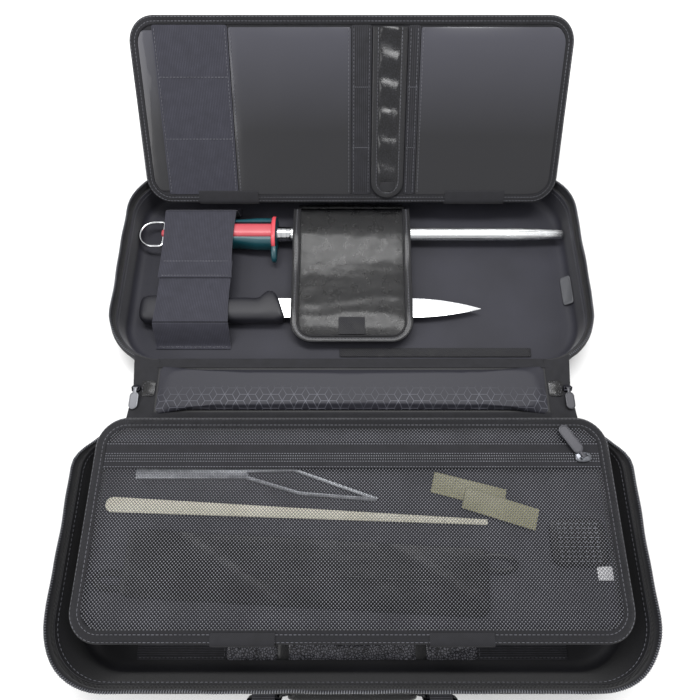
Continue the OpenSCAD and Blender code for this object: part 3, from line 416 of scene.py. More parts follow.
# %% Ground and plated metals
def metal(name, low, high, roughness, stretch, depth):
    made, tree, shader, along, place = finish(name, high, roughness, Metallic=1.0)
    drawn = add(tree, "VectorMath", {0: place, 1: stretch}, operation="MULTIPLY").outputs[0]
    marks = add(tree, "TexNoise", {"Vector": drawn, "Scale": 1.0, "Detail": 4.0}).outputs[0]
    two_tone(tree, shader, marks, low, high)
    rough = add(tree, "MapRange", {0: marks, 1: 0.3, 2: 0.7, 3: roughness - 0.06, 4: roughness + 0.08})
    tree.links.new(rough.outputs[0], shader.inputs["Roughness"])
    relief(tree, shader, marks, depth)
    return made


rod_steel = metal("ridged chromium steel", "#c2c4c7", "#f0f1f2", 0.24, (0.03, 1.6, 1.6), 0.07)
blade_steel = metal("ground stainless steel", "#b9bbbe", "#eff0f1", 0.22, (1.8, 0.05, 0.2), 0.04)
plated_steel = metal("nickel-plated steel", "#a4a6aa", "#dfe0e2", 0.16, (0.2, 0.2, 0.2), 0.01)
worn_wire = metal("worn nickel-plated wire", "#55575b", "#96989c", 0.34, (0.2, 0.2, 0.2), 0.02)
gun_metal = metal("black nickel zinc casting", "#4a4b50", "#7d7f84", 0.3, (0.6, 0.6, 0.6), 0.02)
dark_plate = metal("black-plated steel wire", "#1e1e22", "#3a3a40", 0.3, (0.4, 0.4, 0.4), 0.01)
puller_paint = moulded("grey lacquered puller", "#2b2b30", "#414147", 0.4, 1.5, 0.03, Metallic=0.2)
silver_paint = moulded("silver lacquered puller", "#66676c", "#8a8b90", 0.38, 1.5, 0.03, Metallic=0.3)
print("metals are ready")

# %% [markdown]
# ## Meshes from rows of points
#
# Nearly every piece is a sheet, a sweep or a loft, and all of these are grids: rows of points joined by
# four-sided faces. The helpers below only place points; one last helper turns them into an object,
# scales millimetres to metres, smooths it and hands it to the body that carries it.

# %% Grid faces, and lengths measured over a grid
def grid_faces(rows, cols, ring_rows=False, ring_cols=False):
    r, c = np.meshgrid(np.arange(rows if ring_rows else rows - 1), np.arange(cols if ring_cols else cols - 1),
                       indexing="ij")
    r, c = r.ravel(), c.ravel()
    r1, c1 = (r + 1) % rows, (c + 1) % cols
    return np.stack([r * cols + c, r1 * cols + c, r1 * cols + c1, r * cols + c1], 1).tolist()


def lengths(grid):
    """Distance along the rows and across them, for every point of a grid."""
    down = np.linalg.norm(np.diff(grid, axis=0), axis=2)
    over = np.linalg.norm(np.diff(grid, axis=1), axis=2)
    along = np.concatenate([np.zeros((1, grid.shape[1])), np.cumsum(down, 0)])
    across = np.concatenate([np.zeros((grid.shape[0], 1)), np.cumsum(over, 1)], 1)
    along = np.broadcast_to(along.mean(1, keepdims=True), across.shape)
    return np.stack([along, across, 0 * along], 2).reshape(-1, 3)


# %% The ways to make a part: sheet, loft, hoop, sweep and a row of beads
def double_faces(rows, cols):
    """Faces of two like grids, one over the other, and of the rim that joins them."""
    n = rows * cols
    index = np.arange(n).reshape(rows, cols)
    border = np.concatenate([index[0, :-1], index[:-1, -1], index[-1, :0:-1], index[:0:-1, 0]]).tolist()
    faces = grid_faces(rows, cols)
    faces += [[n + i for i in reversed(f)] for f in faces]
    return faces + [[a, b, b + n, a + n] for a, b in zip(border, border[1:] + border[:1])]


def cloth(grid, thick):
    """A sheet of even thickness round a grid of middle points, rolled off at its rim."""
    rolled_off = 0.45
    grid = np.asarray(grid, float)
    face = np.cross(np.gradient(grid, axis=0), np.gradient(grid, axis=1))
    face /= np.linalg.norm(face, axis=2, keepdims=True) + 1e-9
    half = np.full(grid.shape[:2], thick / 2)
    half[[0, -1], :] *= rolled_off
    half[:, [0, -1]] *= rolled_off
    over, under = grid + face * half[..., None], grid - face * half[..., None]
    spots = np.concatenate([over.reshape(-1, 3), under.reshape(-1, 3)])
    return spots, double_faces(*half.shape), np.tile(lengths(grid), (2, 1))


def loft(rings):
    """Joins a row of closed rings, each with the same number of points, and closes both ends."""
    rings = np.asarray(rings, float)
    rows, cols = rings.shape[:2]
    ends = [list(range(cols)), [(rows - 1) * cols + i for i in range(cols)]]
    return rings.reshape(-1, 3), grid_faces(rows, cols, ring_cols=True) + ends, lengths(rings)


def hoop(rings):
    """Joins a row of closed rings whose last meets its first, such as the edge of a page."""
    rings = np.asarray(rings, float)
    return rings.reshape(-1, 3), grid_faces(*rings.shape[:2], True, True), lengths(rings)


def sweep(path, section, up=(0, 0, 1), ring=False):
    """Carries a closed section (sideways, up) along a path."""
    path, section = np.asarray(path, float), np.asarray(section, float)
    run = np.roll(path, -1, 0) - np.roll(path, 1, 0) if ring else np.gradient(path, axis=0)
    run /= np.linalg.norm(run, axis=1, keepdims=True)
    side = np.cross(run, np.broadcast_to(up, path.shape))
    side /= np.linalg.norm(side, axis=1, keepdims=True)
    top = np.cross(side, run)
    section = np.broadcast_to(section, (len(path),) + section.shape)
    rings = path[:, None] + side[:, None] * section[..., :1] + top[:, None] * section[..., 1:]
    return hoop(rings) if ring else loft(rings)


def spaced(path, pitch, ring):
    """Points along a path at an even pitch, with the direction there."""
    path = np.asarray(path, float)
    if ring:
        path = np.concatenate([path, path[:1]])
    run = np.concatenate([[0], np.cumsum(np.linalg.norm(np.diff(path, axis=0), axis=1))])
    count = max(2, int(run[-1] / pitch))
    at = (np.arange(count) + 0.5) * run[-1] / count
    spots, ahead, back = (np.stack([np.interp(s, run, path[:, k]) for k in range(3)], 1)
                          for s in (at, np.minimum(at + 0.4, run[-1]), np.maximum(at - 0.4, 0)))
    run = ahead - back
    return spots, run / np.linalg.norm(run, axis=1, keepdims=True)


def beads(path, pitch, size, up=(0, 0, 1), ring=False, turn=0.0):
    """A row of small rounded beads, (length, width, height), such as stitches or zip teeth."""
    sides = 6
    spots, run = spaced(path, pitch, ring)
    side = np.cross(run, np.broadcast_to(up, run.shape))
    side /= np.linalg.norm(side, axis=1, keepdims=True)
    top = np.cross(side, run)
    c, s = math.cos(turn), math.sin(turn)
    run, side = c * run + s * side, c * side - s * run
    shape = []
    for t, r in ((-0.5, 0.35), (-0.36, 0.85), (0.0, 1.0), (0.36, 0.85), (0.5, 0.35)):
        for k in range(sides):
            a = 2 * math.pi * k / sides
            shape.append((t * size[0], math.cos(a) * r * size[1] / 2, math.sin(a) * r * size[2] / 2))
    shape = np.array(shape)[None]
    points = spots[:, None] + shape[..., :1] * run[:, None] + shape[..., 1:2] * side[:, None]
    points = (points + shape[..., 2:] * top[:, None]).reshape(-1, 3)
    one = grid_faces(5, sides, ring_cols=True) + [list(range(sides)), [4 * sides + i for i in range(sides)]]
    return points, [[i + k * 5 * sides for i in f] for k in range(len(spots)) for f in one], points


def crosswise(part):
    """The same part with its weave turned a quarter, for ribs that run the other way."""
    return part[0], part[1], part[2][:, [1, 0, 2]]


# %% One object from its parts
def piece(name, parts, material, body=None, instead=None, sharp=40):
    """Makes an object of its parts, in metres, hangs it on the body that carries it and hides the solid it
    stands for.
    """
    parts = [parts] if isinstance(parts, tuple) else list(parts)
    points, faces, weave, start = [], [], [], 0
    for spots, part_faces, along in parts:
        points.append(spots)
        weave.append(along)
        faces += [[i + start for i in f] for f in part_faces]
        start += len(spots)
    mesh = bpy.data.meshes.new(name)
    mesh.from_pydata((np.concatenate(points) * 0.001).tolist(), [], faces)
    kept = mesh.attributes.new("weave", "FLOAT_VECTOR", "POINT")
    kept.data.foreach_set("vector", np.concatenate(weave).astype(np.float32).ravel())
    work = bmesh.new()
    work.from_mesh(mesh)
    bmesh.ops.recalc_face_normals(work, faces=work.faces)
    work.to_mesh(mesh)
    work.free()
    mesh.shade_smooth()
    mesh.set_sharp_from_angle(angle=math.radians(sharp))
    mesh.materials.append(material)
    made = bpy.data.objects.new(name, mesh)
    bpy.context.collection.objects.link(made)
    if body:
        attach(made, body)
    if instead:
        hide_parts(instead)
    return made


# %% [markdown]
# Cloth is never quite flat. A sum of a few sine waves in seeded directions gives the same gentle
# unevenness on every run, and squeezing it one way turns dents into creases. A drawn line is softened by
# cutting its corners, and a rounded plate is a grid whose rows get shorter towards its ends.

# %% Unevenness, soft lines and rounded grids
def dents(x, y, size, seed, octaves=3):
    """Smooth unevenness of about -1 to 1, with dents of the given size."""
    draw = np.random.default_rng(seed)
    total = np.zeros(np.shape(x))
    for octave in range(octaves):
        for _ in range(5):
            angle, phase = draw.uniform(0, math.pi), draw.uniform(0, 2 * math.pi)
            wave = 2 * math.pi * 2 ** octave / (size * draw.uniform(0.8, 1.5))
            total = total + np.sin((x * math.cos(angle) + y * math.sin(angle)) * wave + phase) / 2 ** octave
    return total / 4.5


def soften(line):
    """Rounds a drawn line by cutting its corners three times."""
    line = np.asarray(line, float)
    for _ in range(3):
        a, b = line[:-1] * 0.75 + line[1:] * 0.25, line[:-1] * 0.25 + line[1:] * 0.75
        line = np.concatenate([line[:1], np.stack([a, b], 1).reshape(-1, line.shape[1]), line[-1:]])
    return line


def run_of(line):
    """How far along a line each of its points lies."""
    return np.concatenate([[0], np.cumsum(np.linalg.norm(np.diff(line, axis=0), axis=1))])


def resample(line, count):
    """The same line as a number of points at even distances."""
    run = run_of(line)
    at = np.linspace(0, run[-1], count)
    return np.stack([np.interp(at, run, line[:, k]) for k in range(line.shape[1])], 1)


def rounded_grid(w, l, r, nx, ny):
    """Points over a plate with rounded corners; the rows bunch up where the corners turn."""
    bend = np.linspace(0, math.pi / 2, 6)[:-1]
    ends = r * (1 - np.cos(bend))
    y = np.unique(np.round(np.concatenate([ends, np.linspace(r, l - r, ny), l - ends]), 6)) - l / 2
    over = np.maximum(0, np.abs(y) - (l / 2 - r))
    half = w / 2 - r + np.sqrt(np.maximum(r * r - over * over, 0))
    u = np.linspace(-1, 1, nx + 1)
    return np.stack([half[:, None] * u[None], np.broadcast_to(y[:, None], (len(y), nx + 1))], 2)


def lay(flat, height):
    """Lifts a flat grid to a height, which is a number or a grid of numbers."""
    return np.concatenate([flat, np.broadcast_to(height, flat.shape[:2])[..., None]], 2)


def ribbon(x, line):
    """A grid that draws a line of (y, z) out sideways, to the given places along x."""
    x, line = np.asarray(x, float), np.asarray(line, float)
    shape = (len(line), x.shape[-1])
    return np.stack([np.broadcast_to(v, shape) for v in (x, line[:, :1], line[:, 1:])], 2)


def spin(spots, angle):
    """Turns points about the upright axis."""
    x, y, c, s = spots[..., 0], spots[..., 1], math.cos(angle), math.sin(angle)
    return np.stack([x * c - y * s, x * s + y * c, spots[..., 2]], -1)


def oval(w, h, power=2.0, n=24):
    """A closed section: an ellipse at power 2, and squarer as the power grows."""
    a = np.linspace(0, 2 * math.pi, n, endpoint=False)
    c, s = np.cos(a), np.sin(a)
    return np.stack([w / 2 * np.sign(c) * abs(c) ** (2 / power),
                     h / 2 * np.sign(s) * abs(s) ** (2 / power)], 1)


print("helpers for sheets, lofts, sweeps and beads")

# %% [markdown]
# ## The rim
#
# Both halves share one plan: a rounded rectangle. Its straight and round stretches are stored as spots on
# an inner skeleton, each with its outward direction, so that any inset of the outline has matching points
# and a profile can be lofted round it. The rim runs level along three sides and falls in a soft curve to
# the fold line at the fourth.

# %% A rounded outline as spots and outward directions
def skeleton(w, l, r):
    """Spots on a rounded outline's inner skeleton, their outward directions, and where the zip ends."""
    step, turn = 5.0, 12
    x, y = w / 2 - r, l / 2 - r
    corners = [(-x, y, 90), (-x, -y, 180), (x, -y, 270), (x, y, 0)]
    spots, out = [], []
    for k, (cx, cy, start) in enumerate(corners):
        for i in range(turn + 1):
            a = math.radians(start + 90 * i / turn)
            spots.append((cx, cy))
            out.append((math.cos(a), math.sin(a)))
        nx, ny = corners[(k + 1) % 4][:2]
        count = int(math.hypot(nx - cx, ny - cy) / step)
        for i in range(1, count):
            spots.append((cx + (nx - cx) * i / count, cy + (ny - cy) * i / count))
            out.append(out[-1])
    last = len(spots) - (int(2 * x / step) - 1)
    return np.array(spots, float), np.array(out), last


half_spots, half_out, rim_end = skeleton(case_w, half_l, corner_r)


def at_inset(inset, spots=half_spots, out=half_out, r=corner_r):
    """Points of an outline, set in from its edge by one distance or by one for each spot."""
    inset = np.asarray(inset, float).reshape(-1, 1)
    count = len(inset) if len(inset) > 1 else len(spots)
    return spots[:count] + out[:count] * (r - inset)


def rim(h, y, drop=0.0):
    """Height of the rim at a distance y from the middle of its half."""
    fall = 0.5 - 0.5 * np.cos(np.pi * np.clip((y - fold_a + dip_l) / dip_l, 0, 1))
    return h - (h - hinge_z) * fall - drop * (1 - fall)


def as_base(points):
    return np.array(points, float)


def as_lid(points):
    points = np.array(points, float)
    points[..., 1] = lid_y - points[..., 1]
    return points


halves = {"base": (base_h, as_base, 3, lining_cloth_painted_shade), "lid": (lid_h, as_lid, 11, lining_cloth)}
print("outline has", len(half_spots), "spots, of which", rim_end, "carry the zip")

# %% [markdown]
# ## Shells and linings
#
# A shell is cloth moulded over foam, stiff and evenly thick: its solid already has the right shape and
# stays, in its woven cloth. A leather piping covers the joint between shell and zip. The lining is a
# separate thin skin pressed inside: a profile of wall, rounded foot and floor, lofted round the outline
# and filled in towards the middle, with a seam line sewn round it below the piping.

# %% The shells keep their solids; linings, pipings and seams are made new
skin_in, foot_r = 6.0, 8              # the lining's distance from the outline, and the radius of its foot


def spine_share(h, y):
    """1 along the three level sides, falling to 0 at the fold line."""
    return 1 - np.clip((h - rim(h, y)) / (h - hinge_z), 0, 1)


for name, (h, place_half, seed, skin_cloth) in halves.items():
    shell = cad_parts[name + "_shell"]
    shell.data.materials.clear()
    shell.data.materials.append(shell_cloth)
    y = at_inset(5)[:, 1]
    top = rim(h, y, 0) - zip_h * spine_share(h, y)
    rows = []
    for inset, drop in ((5.0, 0.6), (5.1, 0.1), (5.5, -0.1), (5.9, 0.1), (skin_in, 0.6)):
        rows.append(np.column_stack([at_inset(inset), top - drop]))
    for k in (0.2, 0.4, 0.6, 0.8, 1.0):
        rows.append(np.column_stack([at_inset(skin_in), (top - 0.6) * (1 - k) + (floor_z + foot_r) * k]))
    for a in (18, 36, 54, 72, 90):
        rise = floor_z + foot_r - foot_r * math.sin(math.radians(a))
        inset = skin_in + foot_r - foot_r * math.cos(math.radians(a))
        rows.append(np.column_stack([at_inset(inset), np.full(len(top), rise)]))
    for inset in (20, 28, 37, 46):
        rows.append(np.column_stack([at_inset(inset), np.full(len(top), floor_z)]))
    for row in rows[4:]:
        give = dents(row[:, 0], row[:, 1] + row[:, 2], 70, seed, 2) * 0.12
        row[:, 2] += np.where(row[:, 2] < floor_z + 0.1, np.abs(give), 0)
    skin = np.array(rows)
    spots, faces = skin.reshape(-1, 3), grid_faces(len(rows), len(top), ring_cols=True)
    faces += [[(len(rows) - 1) * len(top) + i for i in range(len(top))]]
    piece(name + "_lining_skin", (place_half(spots), faces, lengths(skin)), skin_cloth, name,
          name + "_lining")
    y = at_inset(0)[:rim_end, 1]
    bead = np.column_stack([at_inset(0.9)[:rim_end], rim(h, y, zip_h + 0.2)])
    piece(name + "_piping", sweep(place_half(bead), oval(3.0, 3.0, n=12)), edge_leather, name)
    seam = np.column_stack([at_inset(6.15)[:rim_end], rim(h, y, zip_h) - 4.5])
    piece(name + "_rim_seam", beads(place_half(seam), 3.6, (2.4, 0.5, 0.5)), thread, name)
print("linings, pipings and rim seams")

# %% [markdown]
# ## The zip
#
# A coil zip is a woven tape with a nylon spiral sewn to its edge. From a hand's breadth away the spiral
# reads as a row of small beads, so each turn is one bead, 1.9 mm from the next. The tape is only
# held at its foot, so its free edge wanders in and out by under a millimetre, and the teeth follow it.

# %% Zip tape and coil round both halves
def zip_wander(path_len, seed):
    s = np.linspace(0, 1, path_len)
    fade = np.clip(np.minimum(s, 1 - s) * 14, 0, 1)
    return fade * (0.3 * np.sin(s * 61 + seed) + 0.2 * np.sin(s * 137 + 2 * seed))


zip_in = 2.5                          # the tape's distance from the outline
for name, (h, place_half, seed, _) in halves.items():
    sway = zip_wander(rim_end, seed)
    y = at_inset(0)[:rim_end, 1]
    foot, edge = rim(h, y, zip_h), rim(h, y, teeth_h)
    rows = []
    for t, out_by in ((0.0, 0.0), (0.35, 0.25), (0.7, 0.6), (1.0, 1.0)):
        rows.append(np.column_stack([at_inset(zip_in - out_by * sway), foot * (1 - t) + edge * t]))
    piece(name + "_zip_cloth", cloth(place_half(np.array(rows)), 1.5), zip_cloth, name,
          name + "_zip_tape")
    line = np.column_stack([at_inset(zip_in - sway), edge + 1.15 * spine_share(h, y) + 0.1 + 0.25 * sway])
    piece(name + "_zip_cord", sweep(place_half(line), oval(1.5, 1.2, n=8)), zip_cloth, name)
    coil = beads(place_half(line), 1.9, (0.95, 2.5, 2.1), turn=0.12)
    piece(name + "_zip_coil", coil, nylon_coil, name, name + "_zip_teeth")
print("two zips")

# %% [markdown]
# ## Patches, keepers and webbing on the floor
#
# A row of tool holders is sewn to the floor inside the front wall. Each is a flat strip, so each is a
# rounded grid with a little unevenness: none for webbing, much for the leather patches, whose glaze
# wrinkles where the leather was turned over its stiffener.

# %% The row of holders
def sewn(centre, size, r, thick, crumple=0.0, squeeze=1.0, seed=1, cells=None):
    """A strip of cloth or leather that lies on a flat surface, sewn down round its edge."""
    w, l = size
    nx, ny = cells or (max(4, int(w / 2.5)), max(4, int(l / 2.5)))
    flat = rounded_grid(w, l, r, nx, ny)
    rise = crumple * (0.5 + 0.5 * dents(flat[..., 0] * squeeze, flat[..., 1], 14, seed))
    from_edge = np.minimum(w / 2 - np.abs(flat[..., 0]), l / 2 - np.abs(flat[..., 1]))
    rise *= np.clip(from_edge / 2.5, 0, 1)
    return cloth(lay(flat, rise) + np.array([centre[0], centre[1], centre[2] + thick / 2]), thick)


stitch_z = floor_z + 1.5
for side, word in left_right:
    webbing = sewn((side * 140, row_y, floor_z), (74, row_w), 1, 1.4)
    piece("webbing_" + word, webbing, webbing_cloth, "base", "floor_webbing")
    patch = sewn((side * 82, row_y, floor_z), (42, row_w), 2, 1.8, 1.6, 0.7, 5 + side, cells=(34, 16))
    # The patches' pale tone is painted glint and painted light in the row's shade.
    piece("patch_" + word, patch, glazed_leather_painted_glints, "base", "floor_patches")
    keeper = sewn((side * 56.5, row_y, floor_z), (9, row_w), 1, 2.6, 0.3)
    piece("keeper_" + word, keeper, edge_leather, "base", "floor_keepers")
    rows = [[(side * x, row_y - up * 7.6, stitch_z) for x in (104.5, 175.5)] for up in (-1, 1)]
    rows.append([(side * 104.8, row_y + up * 7, stitch_z) for up in (-1, 1)])
    stitches = [beads(row, 3.2, (2.2, 0.6, 0.5)) for row in rows]
    piece("webbing_stitches_" + word, stitches, thread, "base")

u, v = np.meshgrid(np.linspace(-1, 1, 61), np.linspace(0, 1, 9))
mouth = row_y + 9 - 6 * (1 - u ** 2)
pocket_rise = 0.5 * np.sin(v * 3) + 0.25 * dents(52 * u, 18 * v, 20, 9)
pocket = np.stack([52 * u, (row_y - 9) * (1 - v) + mouth * v, floor_z + 1.3 + pocket_rise], 2)
piece("floor_pocket_leather", cloth(pocket, 2.0), glazed_leather_painted_glints, "base", "floor_pocket")
lip = sweep(pocket[-1] + np.array([0, -0.8, 0.9]), oval(1.8, 1.1, n=8))
hem = beads(pocket[-1] + np.array([0, -3.2, 1.15]), 3.0, (2.0, 0.5, 0.5))
piece("floor_pocket_hem", [lip, hem], glazed_leather_painted_glints, "base")
print("row of holders")

# %% [markdown]
# ## The mesh page
#
# The page is a stiff backing with a bound edge and, over it, a netted pocket closed by a zip. The
# binding is a tape folded over the edge, so its section is a soft U, swept round the outline and sewn
# through with two rows of stitches. All of it turns on two cloth tabs at the front.

# %% Backing, binding and stitches
page_spots, page_out, _ = skeleton(mesh_w, mesh_l, page_r)


def page_ring(inset, z):
    flat = at_inset(inset, page_spots, page_out, page_r)
    return np.column_stack([flat[:, 0], flat[:, 1] + mesh_mid, np.full(len(flat), z)])


flat = rounded_grid(mesh_w - 14, mesh_l - 14, page_r - 7, 90, 40)
sag = 0.35 * dents(flat[..., 0], flat[..., 1], 60, 21)
flat[..., 1] += mesh_mid
piece("mesh_page_back_cloth", cloth(lay(flat, 55.9 + sag), 1.3), backing_cloth, "mesh_page",
      "mesh_page_backing")
profile = [(10.0, 62.5), (9.4, 63.1), (8.0, 63.3), (7.0, 63.0), (5.0, 63.6), (3.0, 63.7), (1.3, 63.0),
           (0.3, 61.4), (0.0, 59.0), (0.3, 56.8), (1.3, 55.4), (3.0, 54.9), (7.0, 54.9), (9.4, 55.1),
           (10.0, 55.8), (10.0, 59.0)]
rings = np.array([page_ring(inset, z) for inset, z in profile])
rings[2:7, :, 2] += (dents(rings[..., 0], rings[..., 1], 45, 4, 2) * 0.22)[2:7]
piece("mesh_page_bound_edge", crosswise(hoop(rings)), binding_cloth, "mesh_page",
      "mesh_page_binding", sharp=60)
piece("mesh_page_stitches", [beads(page_ring(7.0, 63.2), 3.4, (2.4, 0.6, 0.55), ring=True),
      beads(page_ring(1.9, 63.55), 3.4, (2.3, 0.5, 0.45), ring=True)], thread, "mesh_page")

# %% [markdown]
# The net is knitted from shiny yarn in small diamonds. Its holes are real ones, so the tools show through
# it and it casts a fine shadow. Each knot is a small raised diamond, and two flat yarns leave it; the
# real pitch is about two and a half millimetres, and the same is drawn. It is one sheet, held stretched.

# %% The net, knot by knot
net_pitch, knot, yarn = 2.7, 0.56, 0.46


def net_between(y0, y1):
    """Knots and yarns between two lines across the page, each as (points, faces, weave)."""
    tucked = 1.0                      # how far the net runs in under the binding
    half_w = mesh_w / 2 - mesh_rim + tucked
    cols, rows = int(2 * half_w / net_pitch), int((y1 - y0) / (net_pitch / 2))
    i, j = np.meshgrid(np.arange(cols), np.arange(rows))
    x = (i + 0.5 * (j % 2) + 0.25) * (2 * half_w / cols) - half_w
    y = y0 + (j + 0.5) * (y1 - y0) / rows
    edge_x, edge_y = mesh_w / 2 - page_r, mesh_l / 2 - page_r
    far_x, far_y = np.maximum(np.abs(x) - edge_x, 0), np.maximum(np.abs(y - mesh_mid) - edge_y, 0)
    inside = np.hypot(far_x, far_y) < page_r - mesh_rim + tucked
    z = mesh_z - 0.35 - 0.55 * np.clip(1 - (2 * x / mesh_w) ** 2, 0, 1) + 0.18 * dents(x, y, 50, 8)
    centre = np.stack([x, y, z], 2)
    kept = centre[inside]
    n = len(kept)
    corners = ((knot, 0, 0), (0, knot, 0), (-knot, 0, 0), (0, -knot, 0), (0, 0, 0.35))
    corners = np.concatenate([kept + np.array(k) for k in corners])
    sides = ((0, 1, 4), (1, 2, 4), (2, 3, 4), (3, 0, 4))
    sides = np.concatenate([np.arange(n)[:, None] + np.array(f) * n for f in sides]).tolist()
    points, faces, start = [], [], 0
    for way in (0, 1):
        ni = i + j % 2 - 1 + way
        ok = inside & (ni >= 0) & (ni < cols) & (j + 1 < rows)
        there = (np.minimum(j + 1, rows - 1), np.clip(ni, 0, cols - 1))
        ok &= inside[there]
        a, b = centre[ok], centre[there][ok]
        run = (b - a) / np.linalg.norm(b - a, axis=1, keepdims=True)
        side = np.column_stack([-run[:, 1], run[:, 0], np.zeros(len(run))]) * yarn / 2
        a, b = a + run * 0.45, b - run * 0.45
        points += [a + side, a - side, b - side, b + side]
        faces += (start + np.arange(len(a))[:, None] + np.arange(4) * len(a)).tolist()
        start += 4 * len(a)
    points = np.concatenate(points)
    return (corners, sides, corners), (points, faces, points)


(near_knots, near_yarns), (far_knots, far_yarns) = net_between(-64.5, 56.4), net_between(75.0, 88.6)
net = piece("pocket_net", [near_yarns, far_yarns, near_knots, far_knots], net_yarn, "mesh_page",
            "mesh_page_net", sharp=80)
# The knots take the paler finish: a painted glint.
net.data.materials.append(net_knots_painted_glint)
is_knot = np.arange(len(net.data.polygons)) >= len(near_yarns[1]) + len(far_yarns[1])
net.data.polygons.foreach_set("material_index", is_knot.astype(np.int32))
print("net faces", len(net.data.polygons))

# %% [markdown]
# ### The pocket's zip, slider and puller
#
# Two tapes and a coil cross the page near its far edge. The slider is a cast body with two ears, and the
# puller is a plain long plate with a raised rim, lacquered grey, that turns on its pin between the ears.

# %% Tapes and coil across the page
tape_x, coil_y, coil_z = mesh_w / 2 - mesh_rim, 64.0, 63.0


def across_page(y, z):
    """A straight line across the page, from one bound edge to the other."""
    return [(-tape_x, y, z), (tape_x, y, z)]


for word, y0, y1 in (("front", 55.2, 61.9), ("back", 66.1, 76.2)):
    u, v = np.meshgrid(np.linspace(-tape_x, tape_x, 120), np.linspace(y0, y1, 7))
    strip = np.stack([u, v, 62.8 + 0.15 * dents(u, v, 40, 3)], 2)
    piece("pocket_tape_" + word, cloth(strip, 1.1), zip_cloth, "mesh_page", "pocket_tapes")
    rows = [beads(across_page(y, coil_z + 0.5), 2.3, (1.5, 0.55, 0.5)) for y in (y0 + 1.0, y1 - 1.2)]
    piece("pocket_tape_stitches_" + word, rows, pale_thread, "mesh_page")
core = sweep(np.linspace(*across_page(coil_y, coil_z), 40), oval(3.9, 1.2, 3, 12))
piece("pocket_coil_core", core, zip_cloth, "mesh_page")
turns = [beads(across_page(coil_y + k, coil_z), 1.9, (0.8, 1.9, 1.5)) for k in (-1.15, 1.15)]
piece("pocket_coil", turns, nylon_coil, "mesh_page", "pocket_teeth")


# %% Sliders and pullers
def slider_parts(centre, l, w, h, turn):
    """A slider body that narrows to one end, with two rounded ears for the pin."""
    body = []
    for t, k in ((0.0, 0.86), (0.12, 1.0), (0.6, 1.0), (0.85, 0.93), (1.0, 0.75)):
        ring = oval(l, w, 3.2, 28) * k
        ring[:, 1] *= 1 - 0.16 * np.clip(ring[:, 0] / (l / 2), 0, 1)
        body.append(np.column_stack([ring, np.full(len(ring), t * h)]))
    spots, faces, weave = loft(body)
    parts = [(spots + np.array(centre), faces, weave)]
    for side in (-1, 1):
        ear = []
        for t, k in ((0, 0.8), (0.25, 1.0), (0.75, 1.0), (1, 0.8)):
            disc = oval(2.6, 3.0, 2.6, 16) * k
            ear.append(np.column_stack([disc[:, 0], np.full(16, side * (2.25 + t * 0.95)),
                                        disc[:, 1] + h + 0.85]))
        spots, faces, weave = loft(ear)
        parts.append((spin(spots, turn) + np.array(centre), faces, weave))
    return parts


def puller_parts(centre, l, w, turn):
    """A long plate with a raised rim and a sunk middle, a neck and a pin."""
    neck_l, thick = 4, 1.4
    plate_l = l - neck_l
    a = np.linspace(0, 2 * math.pi, 40, endpoint=False)
    rings = []
    for k, z in ((0.9, -0.5), (1.0, -0.35), (1.0, 0.35), (0.93, 0.5), (0.8, 0.5), (0.72, 0.28), (0.3, 0.28)):
        r = w / 2 * k
        x = r * np.cos(a) + np.where(np.cos(a) >= 0, 1, -1) * (plate_l - w) / 2
        rings.append(np.column_stack([x + neck_l + plate_l / 2, r * np.sin(a), np.full(40, z * thick)]))
    neck = sweep([(0, 0, 0), (2, 0, 0), (5.2, 0, 0)], oval(2.8, 1.3, 3.5, 12))
    pin = sweep([(0, -2.0, 0), (0, -1, 0), (0, 1, 0), (0, 2.0, 0)], oval(1.55, 1.55, n=14))
    return [(spin(spots, turn) + np.array(centre), faces, weave)
            for spots, faces, weave in (loft(rings), neck, pin)]


turn, quarter = math.radians(122), -math.pi / 2
piece("pocket_slider_body", slider_parts((190, 64, 63.9), 13, 8.5, 2, turn), gun_metal, "pocket_slider",
      "pocket_slider")
piece("pocket_pull_tab", puller_parts((190, 64, 66.8), 30, 9, turn), puller_paint, "pocket_puller",
      "pocket_puller")
slider_x, end_y, cover_top, pin_z = 198.6, 132.3, 31.4, 34.7
sliders = [part for side in (-1, 1)
           for part in slider_parts((side * slider_x, end_y, cover_top), 8, 7, 2.4, quarter)]
piece("main_slider_bodies", sliders, dark_plate, "spine", "main_sliders")
for (side, word), paint in zip(left_right, (silver_paint, puller_paint)):
    piece(word + "_pull_tab", puller_parts((side * slider_x, end_y, pin_z), 20, 8, quarter), paint,
          word + "_puller", word + "_puller")
print("sliders and pullers")

# %% [markdown]
# ### Tools in the netted pocket
#
# Five things lie under the net: wire tongs, a long cream bar, two khaki blade guards, a folded pouch and
# a small ribbed case. The first three keep their solids, with the sharp edges rounded by a bevel in a
# copy. The pouch is cloth folded flat, with slanting creases, a stitched hem and a loop at each end.

